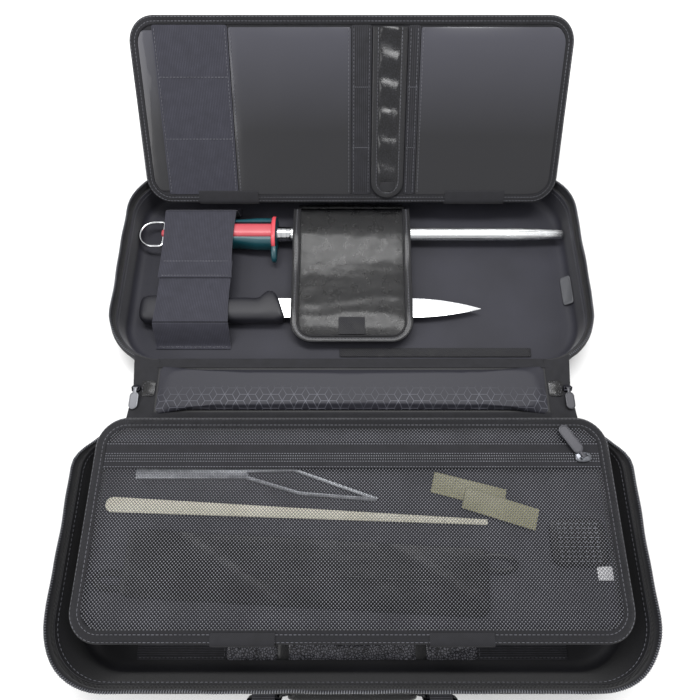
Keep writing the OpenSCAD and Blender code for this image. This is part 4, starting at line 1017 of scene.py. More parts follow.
# %% Rounded copies of hard solids
def eased(node, name, width, material, body):
    """Copies a hard solid, merges its flat faces and rounds its edges."""
    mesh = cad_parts[node].data.copy()
    mesh.name = name
    made = bpy.data.objects.new(name, mesh)
    bpy.context.collection.objects.link(made)
    work = bmesh.new()
    work.from_mesh(mesh)
    bmesh.ops.remove_doubles(work, verts=work.verts, dist=1e-6)
    bmesh.ops.dissolve_limit(work, angle_limit=math.radians(3), verts=work.verts, edges=work.edges)
    edges = [e for e in work.edges if len(e.link_faces) == 2 and e.calc_face_angle() > math.radians(35)]
    bmesh.ops.bevel(work, geom=edges, offset=width * 0.001, segments=3, profile=0.5, affect="EDGES",
                    clamp_overlap=True)
    bmesh.ops.triangulate(work, faces=[f for f in work.faces if len(f.verts) > 4])
    # The faces are sorted by their corners, so that each run lists them alike.
    work.verts.index_update()
    most = len(work.verts)
    work.faces.sort(key=lambda f: sum(v.index * most ** k for k, v in enumerate(
        sorted(f.verts, key=lambda corner: corner.index))))
    work.to_mesh(mesh)
    work.free()
    mesh.materials.clear()
    mesh.materials.append(material)
    mesh.shade_smooth()
    mesh.set_sharp_from_angle(angle=math.radians(30))
    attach(made, body)
    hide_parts(node)


eased("tongs", "wire_tongs", 0.7, worn_wire, "mesh_page")
eased("long_bar", "cream_bar", 0.8, cream_plastic, "mesh_page")
eased("blade_guards", "khaki_guards", 0.5, khaki_plastic, "mesh_page")

# %% The folded pouch
def in_pocket(points, height=56.4):
    """Lays a part drawn round its own middle into the pocket, where it slid round a little."""
    return spin(np.asarray(points, float), math.radians(-3)) + np.array([-36, -24, height])


pouch_w, pouch_l = 284, 49
flat = rounded_grid(pouch_w, pouch_l, 8, 90, 22)
u, v = flat[..., 0] / (pouch_w / 2), flat[..., 1] / (pouch_l / 2)
bulk = 0.75 * (1 - np.abs(u) ** 8) * (1 - v ** 4)
slant = flat[..., 0] * 0.55 + flat[..., 1]
creases = 0.9 * np.maximum(0, dents(slant, slant * 0, 34, 14, 2)) ** 2
over = lay(flat, 2.3 + bulk + creases + 0.2 * dents(flat[..., 0] * 0.4, flat[..., 1], 16, 14))
fold = np.array([[(-138 + 276 * k / 60, s, 4.0 - abs(k / 30 - 1) ** 6) for k in range(61)]
                 for s in (-3.5, 17)])
parts = [cloth(in_pocket(over), 2.2), cloth(in_pocket(lay(flat, 1.2)), 1.6)]
parts.append(sweep(in_pocket(fold[0] + np.array([0, 2.0, 0.1])), oval(2.4, 1.1, n=8)))
parts += [beads(in_pocket(row, 56.5), 4.0, (2.8, 0.7, 0.6)) for row in fold]
pouch = piece("folded_pouch", parts, pouch_cloth, "mesh_page", "tool_pouch")
loops = []
a = np.linspace(0, 2 * math.pi, 40, endpoint=False)
for side in (-1, 1):
    path = np.stack([11.6 * np.cos(a) + np.sign(np.cos(a)) * 2.0 + side * 149.5, 5.6 * np.sin(a) + side * 14,
                     1.5 + 0.4 * np.sin(2 * a)], 1)
    loops.append(sweep(in_pocket(path), oval(4.4, 1.6, 3, 12), ring=True))
piece("pouch_loops", loops, pouch_cloth, "mesh_page")

# %% The ribbed case and a blank label beside it
case_rings = []
for k, z in ((0.94, 56.5), (1.0, 57.0), (1.0, 59.3), (0.97, 59.8), (0.9, 59.9)):
    ring = oval(44 * k, 36 * k, 6, 48)
    case_rings.append(np.column_stack([ring[:, 0] + 179, ring[:, 1] - 2, np.full(48, z)]))
piece("ribbed_case_shell", loft(case_rings), pouch_cloth, "mesh_page")
ribs = [beads([(162, y, 59.95), (196, y, 59.95)], 4.6, (3.0, 0.8, 0.5)) for y in np.linspace(-16, 12, 9)]
piece("ribbed_case_ribs", ribs, pale_thread, "mesh_page")
label = lay(rounded_grid(12, 10, 0.8, 8, 8), 0) + np.array([197.0, -25.0, 57.1])
label[..., 2] += 0.4 * np.sin((label[..., 0] - 191) / 12 * math.pi)
piece("blank_label", cloth(label, 0.4), label_satin, "mesh_page")
print("tools under the net")

# %% [markdown]
# ## The spine
#
# The spine is a stuffed pad on a cloth cover. Stuffing pushes evenly outwards, and that is what Blender's
# cloth does when it is given pressure: the plain form swells, its edges pull in and small tensions show
# along them. The form starts a little slim, the travel of each point is capped, and the
# result is applied, so the piece is an ordinary mesh afterwards.

# %% The pad, swollen by pressure
def apply_modifiers(made):
    graph = bpy.context.evaluated_depsgraph_get()
    mesh = bpy.data.meshes.new_from_object(made.evaluated_get(graph), preserve_all_data_layers=True,
                                           depsgraph=graph)
    old, made.data = made.data, mesh
    made.modifiers.clear()
    mesh.name = made.name
    bpy.data.meshes.remove(old)


def corners_of(made):
    spots = np.empty(len(made.data.vertices) * 3)
    made.data.vertices.foreach_get("co", spots)
    return spots.reshape(-1, 3)


def swollen(name, shape, material, voxel, cap):
    """A piece blown up by pressure, and where its points go if none may travel past the cap, in metres."""
    made = piece(name, shape, material)
    remesh = made.modifiers.new("remesh", "REMESH")
    remesh.mode, remesh.voxel_size = "VOXEL", voxel
    apply_modifiers(made)
    before = corners_of(made)
    soft = made.modifiers.new("cloth", "CLOTH")
    soft.settings.use_pressure, soft.settings.uniform_pressure_force = True, 4.0
    soft.settings.effector_weights.gravity = 0.0
    soft.settings.quality = 6
    for number in range(1, 21):
        bpy.context.scene.frame_set(number)
    apply_modifiers(made)
    bpy.context.scene.frame_set(1)
    move = corners_of(made) - before
    far = np.linalg.norm(move, axis=1, keepdims=True)
    return made, before + move * np.minimum(1, cap / np.maximum(far, 1e-9))


def crown(x, y, half_w, half_d):
    """Height of a stuffed pad, from 0 at its edge to 1."""
    u, v = np.clip(np.abs(x) / half_w, 0, 1), np.clip(np.abs(y) / half_d, 0, 1)
    return (1 - v ** 2.4) ** 0.6 * (1 - u ** 14) ** 0.6


pad_w, pad_d, pad_foot = 180.6, 23.8, 31.5
flat = rounded_grid(2 * pad_w, 2 * pad_d, 5, 90, 16)
rise = 1.3 + 3.9 * crown(flat[..., 0], flat[..., 1], pad_w, pad_d)
skins = [lay(flat, pad_foot + rise), lay(flat, pad_foot)]
skins = np.concatenate([skin.reshape(-1, 3) for skin in skins]) + np.array([0, spine_mid, 0])
pad, after = swollen("spine_pad_cover", (skins, double_faces(*rise.shape), skins), pad_cover, 0.0032, 0.0035)
room = np.array([(-181.7, 106.8, pad_foot - 0.1), (181.7, 155.8, 37.6)]) * 0.001
after = np.clip(after, *room)         # the swelling stays near the box of the pad's solid
pad.data.vertices.foreach_set("co", after.ravel())
smooth = pad.modifiers.new("round", "SUBSURF")
smooth.levels = smooth.render_levels = 1
apply_modifiers(pad)
weave = pad.data.attributes.get("weave") or pad.data.attributes.new("weave", "FLOAT_VECTOR", "POINT")
spots = corners_of(pad) * 1000 - np.array([0, spine_mid, 0])
weave.data.foreach_set("vector", spots.astype(np.float32).ravel())
pad.data.shade_smooth()
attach(pad, "spine")
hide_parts("spine_pad")
print("pad points", len(pad.data.vertices), "top", round(float(after[:, 2].max()) * 1000, 2), "mm")

# %% [markdown]
# Under the pad lies the outer cover, which bends at both fold lines. At each end a gusset of the same
# cloth closes the wedge between the two halves' rounded corners. Cloth that crosses a fold can't ride on one
# side only, so it is made in two, one piece at each fold line, and each piece is left on no body: it stays
# where it was made.

# %% Cover, fold cloths and gussets
u, v = np.meshgrid(np.linspace(-spine_x, spine_x, 90), np.linspace(106.6, 156.0, 14))
cover = np.stack([u, v, 30.7 + 0 * u], 2)
piece("spine_outer_cover", cloth(cover, 1.2), shell_cloth, "spine", "spine_cover")


def far_side(points):
    """The same part at the far fold line."""
    out = np.array(points, float)
    out[..., 1] = 2 * spine_mid - out[..., 1]
    return out


fold_line = resample(soften([(100.6, 30.6), (104, 30.9), (107, 31.5), (110, 32.1)]), 12)
x = np.linspace(-spine_x - 1, spine_x + 1, 80)
strip = ribbon(x, fold_line)
strip[..., 2] += 0.15 * dents(x, 0 * x, 30, 6)
t = np.linspace(0, 1, 16)
for word, placed, bodies, line, out in (("near", as_base, ("base", "spine"), 106.0, 1),
                                        ("far", far_side, ("lid", "spine"), 156.6, -1)):
    made = piece("fold_cloth_" + word, cloth(placed(strip), 0.9), fold_cloth)
    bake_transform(made)
    for side, end_word in left_right:
        rows = []
        for k in np.linspace(0, 1, 18):
            far = 205 + (201.5 - 205) * k
            x_row = 180.5 + (far - 180.5) * t
            arc = 56 + np.sqrt(np.maximum(2500 - np.maximum(x_row - 182, 0) ** 2, 0)) - 4
            y_row = arc * (1 - k) + spine_mid * k
            crease = np.sin(math.pi * t) * (0.5 + 0.5 * np.sin(9 * t + 7 * k + side))
            z_row = 31.0 + 1.3 * math.sin(math.pi * k) * crease + 0.5 * (1 - k)
            rows.append(np.column_stack([side * x_row, y_row, z_row]))
        gusset = cloth(placed(np.array(rows)), 1.0)
        made = piece("gusset_" + word + "_" + end_word, gusset, fold_cloth)
        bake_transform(made)

u, v = np.meshgrid(np.linspace(-1, 1, 8), np.linspace(-1, 1, 12))
for side, word in left_right:
    seam = np.stack([side * (193 + 7.5 * u), spine_mid + 5.5 * v, 30.6 + 0 * u], 2)
    piece("gusset_seam_" + word, cloth(seam, 1.0), fold_cloth, "spine", "gussets")

tab_x = 187.6
for side, word in left_right:
    tab = sewn((side * tab_x, end_y, cover_top), (12.4, 15), 2.5, 1.5, 0.5, 1.0, 31)
    piece("zip_end_tab_" + word, tab, coated_leather, "spine", "zip_end_tabs")
    ring = [(side * tab_x + 5 * math.cos(a), end_y + 6.2 * math.sin(a), 33.0)
            for a in np.linspace(0, 2 * math.pi, 40, endpoint=False)]
    stitches = beads(ring, 2.6, (1.8, 0.5, 0.45), ring=True)
    piece("zip_end_stitches_" + word, stitches, thread, "spine")
print("cover, fold cloths, gussets and end tabs")

# %% [markdown]
# ## The holding band
#
# A wide elastic band holds both handles down. It is two leaves, one sewn down behind the steel and one
# in front of the knife, that lap between them. Each leaf is a curved line, softened where it bends
# over a handle, given width. Elastic pulls in a little at mid-length, so its edges aren't quite parallel.

# %% Band roots and leaves
def band_leaf(line, width, waist, body, name, instead, seams=()):
    line = resample(soften(line), 40)
    t = np.linspace(0, 1, len(line))
    half = width / 2 - waist * np.sin(math.pi * t)
    grid = ribbon(band_x + half[:, None] * np.linspace(-1, 1, 25)[None], line)
    grid[..., 2] += 0.1 * dents(grid[..., 0], grid[..., 1], 40, 17, 2) * np.sin(math.pi * t)[:, None]
    piece(name, crosswise(cloth(grid, 1.5)), elastic_cloth, body, instead)
    for k, y in enumerate(seams):
        row = int(np.argmin(np.abs(line[:, 0] - y)))
        path = grid[row, 1:-1] + np.array([0, 0, 0.8])
        piece(name + "_seam_" + str(k + 1), beads(path, 3.0, (2.2, 0.6, 0.5)), thread, body)


band_leaf([(325.6, 31.4), (290, 31.4), (249.6, 28.2)], band_w, 1.4, "band_far", "band_leaf_far", "band_far",
          seams=(251.6, 268))
band_leaf([(201.6, 27.35), (235.6, 27.35), (244.6, 25.9), (268.6, 27.85)], band_w - 0.6, 1.2, "band_near",
          "band_leaf_near", "band_near")
for word, line in (("far", [(326.4, 31.0), (330.6, 26.4), (333.6, 10.8), (336.6, 6.9), (346.6, 6.9)]),
                   ("near", [(200.8, 27.1), (196.6, 23.2), (190.6, 14.8), (184.6, 6.9), (180.6, 6.9)])):
    band_leaf(line, band_w, 0.0, "lid", "band_root_" + word, "band_roots")
zigzag = [(band_x - 34 + 68 * k / 30, 182.2 + (k % 2) * 2.0, 7.75) for k in range(31)]
piece("band_root_zigzag", beads(zigzag, 2.4, (2.0, 0.6, 0.5)), thread, "lid")
print("band in four pieces")

# %% [markdown]
# ## The leather flap
#
# The flap hangs over the rod and the blade from a sewn root. Its leather is padded, so it puffs between
# rows of stitches, and it has taken soft folds across its length. The edge is turned over a piping on
# both sides of a flat binding. One function gives any point of the flap from two numbers, across and up
# from the tip, and every part of the flap uses it, so they all fit.

# %% The flap's surface
flap_w, flap_r, flap_edge = 122, 22, 7
flap_curve = soften([(183.6, 17.0), (209.6, 19.9), (233.6, 20.1), (265.6, 21.1), (291.6, 26.4), (305.6, 28.7),
                     (330.6, 26.7)])
flap_run = run_of(flap_curve)
flap_len = float(flap_run[-1])


def on_flap(x, up, lift=0.0):
    """Places on the flap, by how far across and how far up from its tip they lie."""
    x, up = np.broadcast_arrays(np.asarray(x, float), np.asarray(up, float))
    y, z = np.interp(up, flap_run, flap_curve[:, 0]), np.interp(up, flap_run, flap_curve[:, 1])
    slope = np.interp(up + 1, flap_run, flap_curve[:, 1]) - np.interp(up - 1, flap_run, flap_curve[:, 1])
    slope = slope / 2
    return np.stack([x, y - lift * slope, z + lift * np.sqrt(np.maximum(1 - slope ** 2, 0))], -1)


inner = flap_edge - 1.0
ups = np.concatenate([inner + (flap_r - inner) * (1 - np.cos(np.linspace(0, math.pi / 2, 10))),
                      np.linspace(flap_r, flap_len - 0.5, 62)[1:]])
over = np.maximum(0, flap_r - np.minimum(ups, flap_r))
half = flap_w / 2 - flap_r + np.sqrt(np.maximum((flap_r - inner) ** 2 - over ** 2, 0))
X, U = half[:, None] * np.linspace(-1, 1, 61)[None], np.broadcast_to(ups[:, None], (len(ups), 61))
from_edge = np.minimum(np.minimum(flap_w / 2 - inner - np.abs(X), U - inner), flap_len - U)
folds = sum(np.exp(-((U - up - sway * np.sin(X / wide + turn)) / 5) ** 2)
            for up, sway, wide, turn in ((44, 4, 23, 0), (28, 3, 17, 1)))
puff = 1.1 + 0.22 * dents(X * 0.3, U, 34, 44) + 0.1 * dents(X, U, 14, 45, 2) + 0.3 * folds
leather_grid = on_flap(X, U)
leather_grid[..., 2] += np.clip(puff, 0, 2.6) * np.clip(from_edge / 9, 0, 1) ** 0.6
piece("flap_leather", cloth(leather_grid, 2.2), coated_leather, "flap", "flap_panel")


def flap_path(inset, lift):
    """A line round the flap's three free sides, set in from its edge."""
    left = [(-flap_w / 2 + inset, k) for k in np.linspace(flap_len, flap_r, 50)]
    a = np.linspace(math.pi, 1.5 * math.pi, 12)[1:]
    arc = [(-flap_w / 2 + flap_r + (flap_r - inset) * math.cos(k), flap_r + (flap_r - inset) * math.sin(k))
           for k in a]
    half = left + arc
    across = [(x, inset) for x in np.linspace(half[-1][0], -half[-1][0], 24)[1:-1]]
    whole = np.array(half + across + [(-x, k) for x, k in reversed(half)])
    return on_flap(whole[:, 0], whole[:, 1], lift)


bound = sweep(flap_path(3.5, 0.0), oval(7.2, 3.3, 4, 16))
piece("flap_bound_edge", bound, edge_leather, "flap", "flap_binding")
pipings = [sweep(flap_path(inset, 1.5), oval(1.9, 1.7, n=8)) for inset in (1.0, 6.9)]
piece("flap_pipings", pipings, edge_leather, "flap")
piece("flap_stitches", beads(flap_path(3.9, 1.72), 3.2, (2.3, 0.65, 0.5)), thread, "flap")
root = soften([(333.0, 26.2), (340.6, 20.7), (344.6, 12.3), (343.6, 8.3), (340.6, 7.3), (332.6, 7.3)])
root = ribbon(np.linspace(-56, 56, 40), resample(root, 26))
root[..., 1] += 0.3 * dents(root[..., 0], root[..., 2], 18, 50, 2)
piece("flap_root_leather", cloth(root, 2.4), coated_leather, "lid", "flap_root")
print("flap is", round(flap_len, 1), "mm long")

# %% [markdown]
# The flap closes with hook tape: a ribbed tab on its tip, and a strip of hooks on the floor below. Both are
# shown by their ribs and loops in relief. A small plain rubber tag, left blank, stands across the rounded
# foot of the right wall, so its face looks up and inwards.

# %% Hook tab, hook strip and tag
u, v = np.meshgrid(np.linspace(-13, 13, 14), np.linspace(flap_edge + 1, flap_edge + 18.5, 10))
piece("flap_hook_tab_cloth", cloth(on_flap(u, v, 3.0), 1.2), hook_cloth, "flap", "flap_hook_tab")
strip = sewn((83, 177.1, floor_z), (190, 9), 1, 1.5, 0.5, 1.0, 12)
piece("hook_strip_cloth", strip, hook_cloth, "lid", "hook_strip")
rings, tilt = [], math.sqrt(0.5)
for out, k in ((0.0, 0.98), (0.5, 1.0), (1.2, 1.0), (1.55, 0.93), (1.55, 0.84), (1.3, 0.8)):
    ring = oval(31 * k, 11 * k, 7, 40)
    rings.append(np.column_stack([222 + (ring[:, 1] - out) * tilt, ring[:, 0] + 244.1,
                                  10 + (ring[:, 1] + out) * tilt]))
piece("blank_tag", loft(rings), grey_rubber, "lid", "side_tag")
print("fastenings and tag")

# %% [markdown]
# ## The sharpening steel
#
# The steel has a two-shot moulded handle: a coral core between two teal cheeks that swell towards the guard
# and the butt. Lofting works well here: a rounded section is carried along the handle and its width
# follows a drawn curve. A groove is left between core and cheeks, as in the moulding.

# %% Handle, guard and ring of the steel
def along_steel(stations, sections):
    return loft([np.column_stack([np.full(len(s), x), s[:, 0] + steel_y, s[:, 1] + steel_z])
                 for x, s in zip(stations, sections)])


butt, guard_back = guard_x - 117, guard_x - 6
swell_x = [butt, butt + 9, butt + 34, butt + 78, butt + 96, guard_back]
swell_w = [5.6, 8.0, 6.4, 5.6, 8.0, 8.0]
stations = np.concatenate([butt + np.array([0, 0.6, 2, 4, 7]), np.linspace(butt + 10, guard_back, 34)])
ends = np.clip((stations - butt) / 7, 0, 1)
core = [oval(17.6, 21.5 * (0.72 + 0.28 * end ** 0.35), 3.4, 36) for end in ends]
eye = ((-5.0, 0.62), (-4.4, 0.86), (-3.4, 1.0), (-1.4, 1.0), (1.0, 1.1))
eye = along_steel([butt + x for x, _ in eye], [oval(8.0 * k, 9.6 * k, 3.0, 24) for _, k in eye])
piece("steel_handle_core", [along_steel(stations, core), eye], coral_plastic, "lid",
      "steel_core")
cheeks = []
a = np.linspace(-math.pi / 2, math.pi / 2, 17)
for side in (-1, 1):
    rings = []
    for x, end in zip(stations, ends ** 0.5):
        depth = np.interp(x, swell_x, swell_w) * (0.35 + 0.65 * end)
        out = np.concatenate([8.9 + depth * np.cos(a) ** 0.75, [8.5, 8.5, 8.5]])
        up = np.concatenate([9.9 * np.sin(a) * (0.74 + 0.26 * end), [6, 0, -6]])
        rings.append(np.column_stack([np.full(20, x), steel_y + side * out, steel_z + up]))
    cheeks.append(loft(rings))
piece("steel_handle_cheeks", cheeks, teal_plastic, "lid", "steel_sides", sharp=50)

guard_two = teal_plastic.copy()
guard_two.name = "two-shot moulded guard"
tree = guard_two.node_tree
across = add(tree, "SeparateXYZ", {0: add(tree, "TexCoord").outputs["Object"]}).outputs[0]
front = add(tree, "Math", {0: across, 1: (guard_x - 1.5) * 0.001}, operation="GREATER_THAN").outputs[0]
two_tone(tree, tree.nodes["Principled BSDF"], front, "#c8454f", "#0b3138")
guard = ((-6.0, 0.86), (-5.6, 0.95), (-4.8, 1.0), (-1.8, 1.0), (-1.5, 0.96), (-1.2, 0.99), (-0.5, 0.93),
         (0.0, 0.8))
guard = along_steel([guard_x + x for x, _ in guard], [oval(37.6 * k, 25.8 * k, 2.6, 44) for _, k in guard])
piece("steel_guard_oval", guard, guard_two, "lid", "steel_guard")

rings = []
for x, k in ((-6.0, 0.72), (-5.5, 0.9), (-4.4, 1.0), (-1.6, 1.0), (-0.5, 0.9), (0.0, 0.72)):
    ring = oval(20 * k, 12 * k, 2.4, 32)
    ring[:, 1] -= 0.05 * (ring[:, 0] - 6) ** 2 * (ring[:, 0] < 6) * 0.3
    rings.append(np.column_stack([np.full(32, guard_x + x * 0.94 - 0.2), steel_y - 21 + ring[:, 0],
                                  steel_z + ring[:, 1]]))
piece("steel_guard_lip", loft(rings), teal_plastic, "lid")

pin_x, bow_r, reach = butt - 3.4, 14.5, 10.5
side_bow = [(pin_x, 11), (pin_x - 0.8, 13.7), (pin_x - 3, bow_r), (pin_x - reach, bow_r)]
bow = [(pin_x, -11)] + side_bow
bow += [(pin_x - reach - bow_r * math.sin(a), bow_r * math.cos(a))
        for a in np.linspace(0.2, math.pi - 0.2, 21)]
bow += [(x, -y) for x, y in side_bow[:0:-1]]
bow = np.array([(x, y, 0) for x, y in bow]) + np.array([0, steel_y, steel_z])
piece("steel_hanging_ring", sweep(bow, oval(3.2, 3.2, n=14), ring=True), plated_steel, "steel_ring",
      "steel_ring")
print("handle, guard and ring")

# %% [markdown]
# The rod is turned steel with fine ridges along it, so its section is a wheel with many small teeth. It
# narrows over its last 50 mm to a blunt end. The ferrule is a slim turned collar with two fine grooves.

# %% Rod and ferrule
def turned(profile, ridges=0, n=48):
    """A turned shape round the steel's middle line, from (x, radius), with fine ridges along it."""
    a = np.linspace(0, 2 * math.pi, n, endpoint=False)
    rings = []
    for x, r in profile:
        rr = r + 0.09 * np.sign(np.sin(a * ridges)) if ridges and r > 4 else np.full(n, r)
        rings.append(np.column_stack([np.full(n, guard_x + x), steel_y + rr * np.cos(a),
                                      steel_z + rr * np.sin(a)]))
    return loft(rings)


rod = [(-1, 6.4)] + [(20 + 11.5 * k, 6.4) for k in range(21)]
rod += [(262, 6.0), (275, 5.5), (288, 4.9), (297, 4.45), (299, 4.1), (299.8, 3.3), (300, 2.0)]
piece("steel_rod_ridged", turned(rod, 24, 96), rod_steel, "lid", "steel_rod", sharp=25)
ferrule = [(-0.2, 7.5), (0.0, 7.9), (3.6, 7.8), (3.9, 7.45), (4.5, 7.45), (4.8, 7.75), (9.0, 7.6),
           (9.3, 7.25), (9.9, 7.25), (10.2, 7.5), (13.2, 7.35), (13.9, 6.9), (14.0, 6.3)]
piece("steel_ferrule_collar", turned(ferrule), plated_steel, "lid", "steel_ferrule", sharp=35)
print("rod and ferrule")

# %% [markdown]
# ## The knife
#
# The handle is moulded and full: a loft along its length whose two edges follow drawn curves, one nearly
# straight and one that swells into a finger guard. The blade comes out of its slanted front. It is ground
# from both faces to its edge, so its section is a long wedge that shrinks to the tip.

# %% Knife handle and blade
upper = [(-147.6, 7.8), (-144.3, 10.8), (-137.6, 12.3), (-119.9, 11.1), (-90.3, 9.3), (-57.7, 9.3),
         (-40, 9.9), (-33.3, 9), (-28.1, 10.2), (-24, 15), (-20, 17.7), (-14.8, 16.8), (-11.8, 12.9),
         (-8.9, 6.9), (-3, -11.4)]
lower = [(-147.6, -7.8), (-147, -12.9), (-142.1, -16.8), (-130.2, -17.1), (-100.6, -15), (-57.7, -15.9),
         (-11.8, -16.2), (-5.2, -15), (-3, -11.4)]
stations = np.concatenate([[-147.6, -147.2, -146.2, -144.3], np.linspace(-141, -34, 30),
                           np.linspace(-32, -9, 24), [-7.5, -6, -4.6, -3.5, -3.05]])
hi, lo = np.interp(stations, *np.transpose(upper)), np.interp(stations, *np.transpose(lower))
for edge in (hi, lo):
    edge[1:-1] = np.convolve(edge, [0.25, 0.5, 0.25], "valid")
rings = []
for x, top_edge, low_edge in zip(stations, hi, lo):
    end = min(1, max(0.02, (x + 148) / 5)) ** 0.4 * min(1, max(0.02, (-2.6 - x) / 4)) ** 0.3
    ring = oval(top_edge - low_edge, 19.6 * end, 3.0, 32)
    rings.append(np.column_stack([np.full(32, knife_x + x), knife_y + (top_edge + low_edge) / 2 + ring[:, 0],
                                  knife_z + ring[:, 1]]))
piece("knife_grip", loft(rings), grey_plastic, "lid", "knife_handle")
rings = []
for x in np.concatenate([[-13, -9, -4], np.linspace(2, 120, 20), np.linspace(126, 190, 24), [193.6]]):
    t = np.clip((x / 194 - 0.62) / 0.38, 0, 1)
    low, high = -10.5 + 9.24 * t * t, 10.5 - 11.34 * t * t
    tip = np.clip((196 - x) / 30, 0.12, 1) ** 0.6
    mid = low + (high - low) * 0.32
    flat = np.array([(low, 0), (mid, 0.9 * tip), (high - 0.4, 0.98 * tip), (high, 0.6 * tip),
                     (high, -0.6 * tip), (high - 0.4, -0.98 * tip), (mid, -0.9 * tip)])
    rings.append(np.column_stack([np.full(7, knife_x + x), knife_y + flat[:, 0], knife_z + flat[:, 1]]))
piece("knife_blade_ground", loft(rings), blade_steel, "lid", "knife_blade", sharp=8)
print("knife")

# %% [markdown]
# ## The sleeve page
#
# The second page leans back over the far rim. It is worked on flat, in its own frame, and stood up at the
# end: across, up the page, and out of its inner face. It has a bound edge, an elastic field, two pockets of
# film, narrow strips between them and a wide leather strap.

# %% The page's own frame
def stand(across, up, out):
    """Places on the leaning page: across it, up from its lower edge, and out of its inner face."""
    across, up, out = np.broadcast_arrays(*(np.asarray(v, float) for v in (across, up, out)))
    c, s = math.cos(lean), math.sin(lean)
    return np.stack([across, page_edge_y + up * c - out * s, page_edge_z + up * s + out * c], -1)


out_of_page = stand(0, 0, 1) - stand(0, 0, 0)
flat = rounded_grid(sleeve_w - 10, sleeve_l - 10, page_r - 5, 80, 40)
bow = 0.25 * dents(flat[..., 0], flat[..., 1], 80, 61, 2)
board = stand(flat[..., 0], flat[..., 1] + sleeve_l / 2, 1.4 + bow)
piece("sleeve_page_back", cloth(board, 2.6), fold_cloth, "sleeve_page", "sleeve_page_board")
sleeve_spots, sleeve_out, _ = skeleton(sleeve_w, sleeve_l, page_r)


def sleeve_ring(inset, out):
    flat = at_inset(inset, sleeve_spots, sleeve_out, page_r)
    return stand(flat[:, 0], flat[:, 1] + sleeve_l / 2, out)


profile = [(8.4, 2.9), (8.2, 3.5), (7.2, 3.95), (6.2, 3.6), (4.4, 3.75), (2.6, 3.9), (1.2, 3.6), (0.25, 2.7),
           (0.0, 1.5), (0.3, 0.2), (1.4, -0.45), (4.5, -0.5), (8.0, -0.4), (8.4, 0.4)]
rings = [sleeve_ring(inset, out) for inset, out in profile]
piece("sleeve_page_bound_edge", crosswise(hoop(rings)), binding_cloth, "sleeve_page",
      "sleeve_page_binding", sharp=60)
rows = [beads(sleeve_ring(inset, out), 3.3, (2.4, 0.6, 0.5), up=out_of_page, ring=True)
        for inset, out in ((5.4, 3.8), (1.7, 3.85))]
piece("sleeve_page_stitches", rows, thread, "sleeve_page")
print("page board and binding")


# %% Elastic field, pockets and strips
def page_limit(up, inset):
    """How far out the page's right side runs, at a height up the page and an inset from its edge."""
    over = np.maximum(0, np.maximum(page_r - up, up - (sleeve_l - page_r)))
    return sleeve_w / 2 - page_r + np.sqrt(np.maximum((page_r - inset) ** 2 - over ** 2, 0))


def panel(name, x0, x1, u0, u1, thick, material, slot, instead, swell, size=30, seed=1, rounded=False):
    """A sheet on the page's inner face, between two places across it and two heights up it."""
    w, l = x1 - x0, u1 - u0
    flat = rounded_grid(w, l, 2.0, max(6, int(w / 4)), max(8, int(l / 4)))
    from_edge = np.minimum(w / 2 - np.abs(flat[..., 0]), l / 2 - np.abs(flat[..., 1]))
    rim_fall = np.clip(from_edge / 7, 0, 1) ** 0.7
    lift = swell * rim_fall * (0.55 + 0.45 * dents(flat[..., 0], flat[..., 1], size, seed))
    x, up = flat[..., 0] + (x0 + x1) / 2, flat[..., 1] + (u0 + u1) / 2
    if rounded and x1 > 0:
        x = x0 + (x - x0) * (page_limit(up, 8.5) - x0) / (x1 - x0)
    elif rounded:
        x = x1 - (x1 - x) * (x1 + page_limit(up, 8.5)) / (x1 - x0)
    made = cloth(stand(x, up, 2.9 + thick / 2 + lift), thick)
    if slot in ("elastic", "webbing"):
        made = crosswise(made)
    piece(name, made, material, "sleeve_page", instead)


panel("sleeve_elastic", -189, -118, 8.5, 162.5, 1.2, elastic_cloth, "elastic", "sleeve_page_band", 0.4,
      60, 71)
film = (pocket_film, "pocket_film")
panel("sleeve_side_strip", -203, -186, 12, 158, 0.8, *film, "sleeve_page_strips", 0.2, rounded=True)
panel("sleeve_pocket_left", -117, -1, 8.5, 160.5, 0.9, *film, "sleeve_pockets", 0.9, 110, 73)
panel("sleeve_pocket_right", 66, 203.5, 8.5, 160.5, 0.9, *film, "sleeve_pockets", 0.9, 120, 75, rounded=True)
for word, x0, x1 in (("left", 0, 19), ("right", 54, 65)):
    panel("sleeve_strip_" + word, x0, x1, 8.5, 162.5, 1.2, strip_cloth, "webbing", "sleeve_page_strips", 0.3)


def page_seam(xs, ups, out, pitch, size):
    return beads(stand(xs, ups, [out, out]), pitch, size, up=out_of_page)


seams = [page_seam([x, x], [10, 160], 4.15, 3.4, (2.4, 0.55, 0.5))
         for x in (-187, -120, -115, -3, 2, 17, 56, 63, 68)]
seams += [page_seam([-187, -120], [up, up], 4.5, 3.2, (2.4, 0.6, 0.5)) for up in (62, 118)]
seams += [page_seam([x0, x1], [up, up], 4.3, 1.9, (1.2, 0.7, 0.5)) for x0, x1 in ((0.6, 18.4), (54.6, 64.4))
          for up in (54.0, 109.4)]
piece("sleeve_seams", seams, thread, "sleeve_page")
print("elastic, pockets and strips")

# %% [markdown]
# The strap is a long leather tongue: a glossy middle between two broad turned edges, hinged at the top of
# the page. It was rolled in use, so the middle waves along its length, and each wave has its own glint.
# Its hook tab is near its rounded foot.

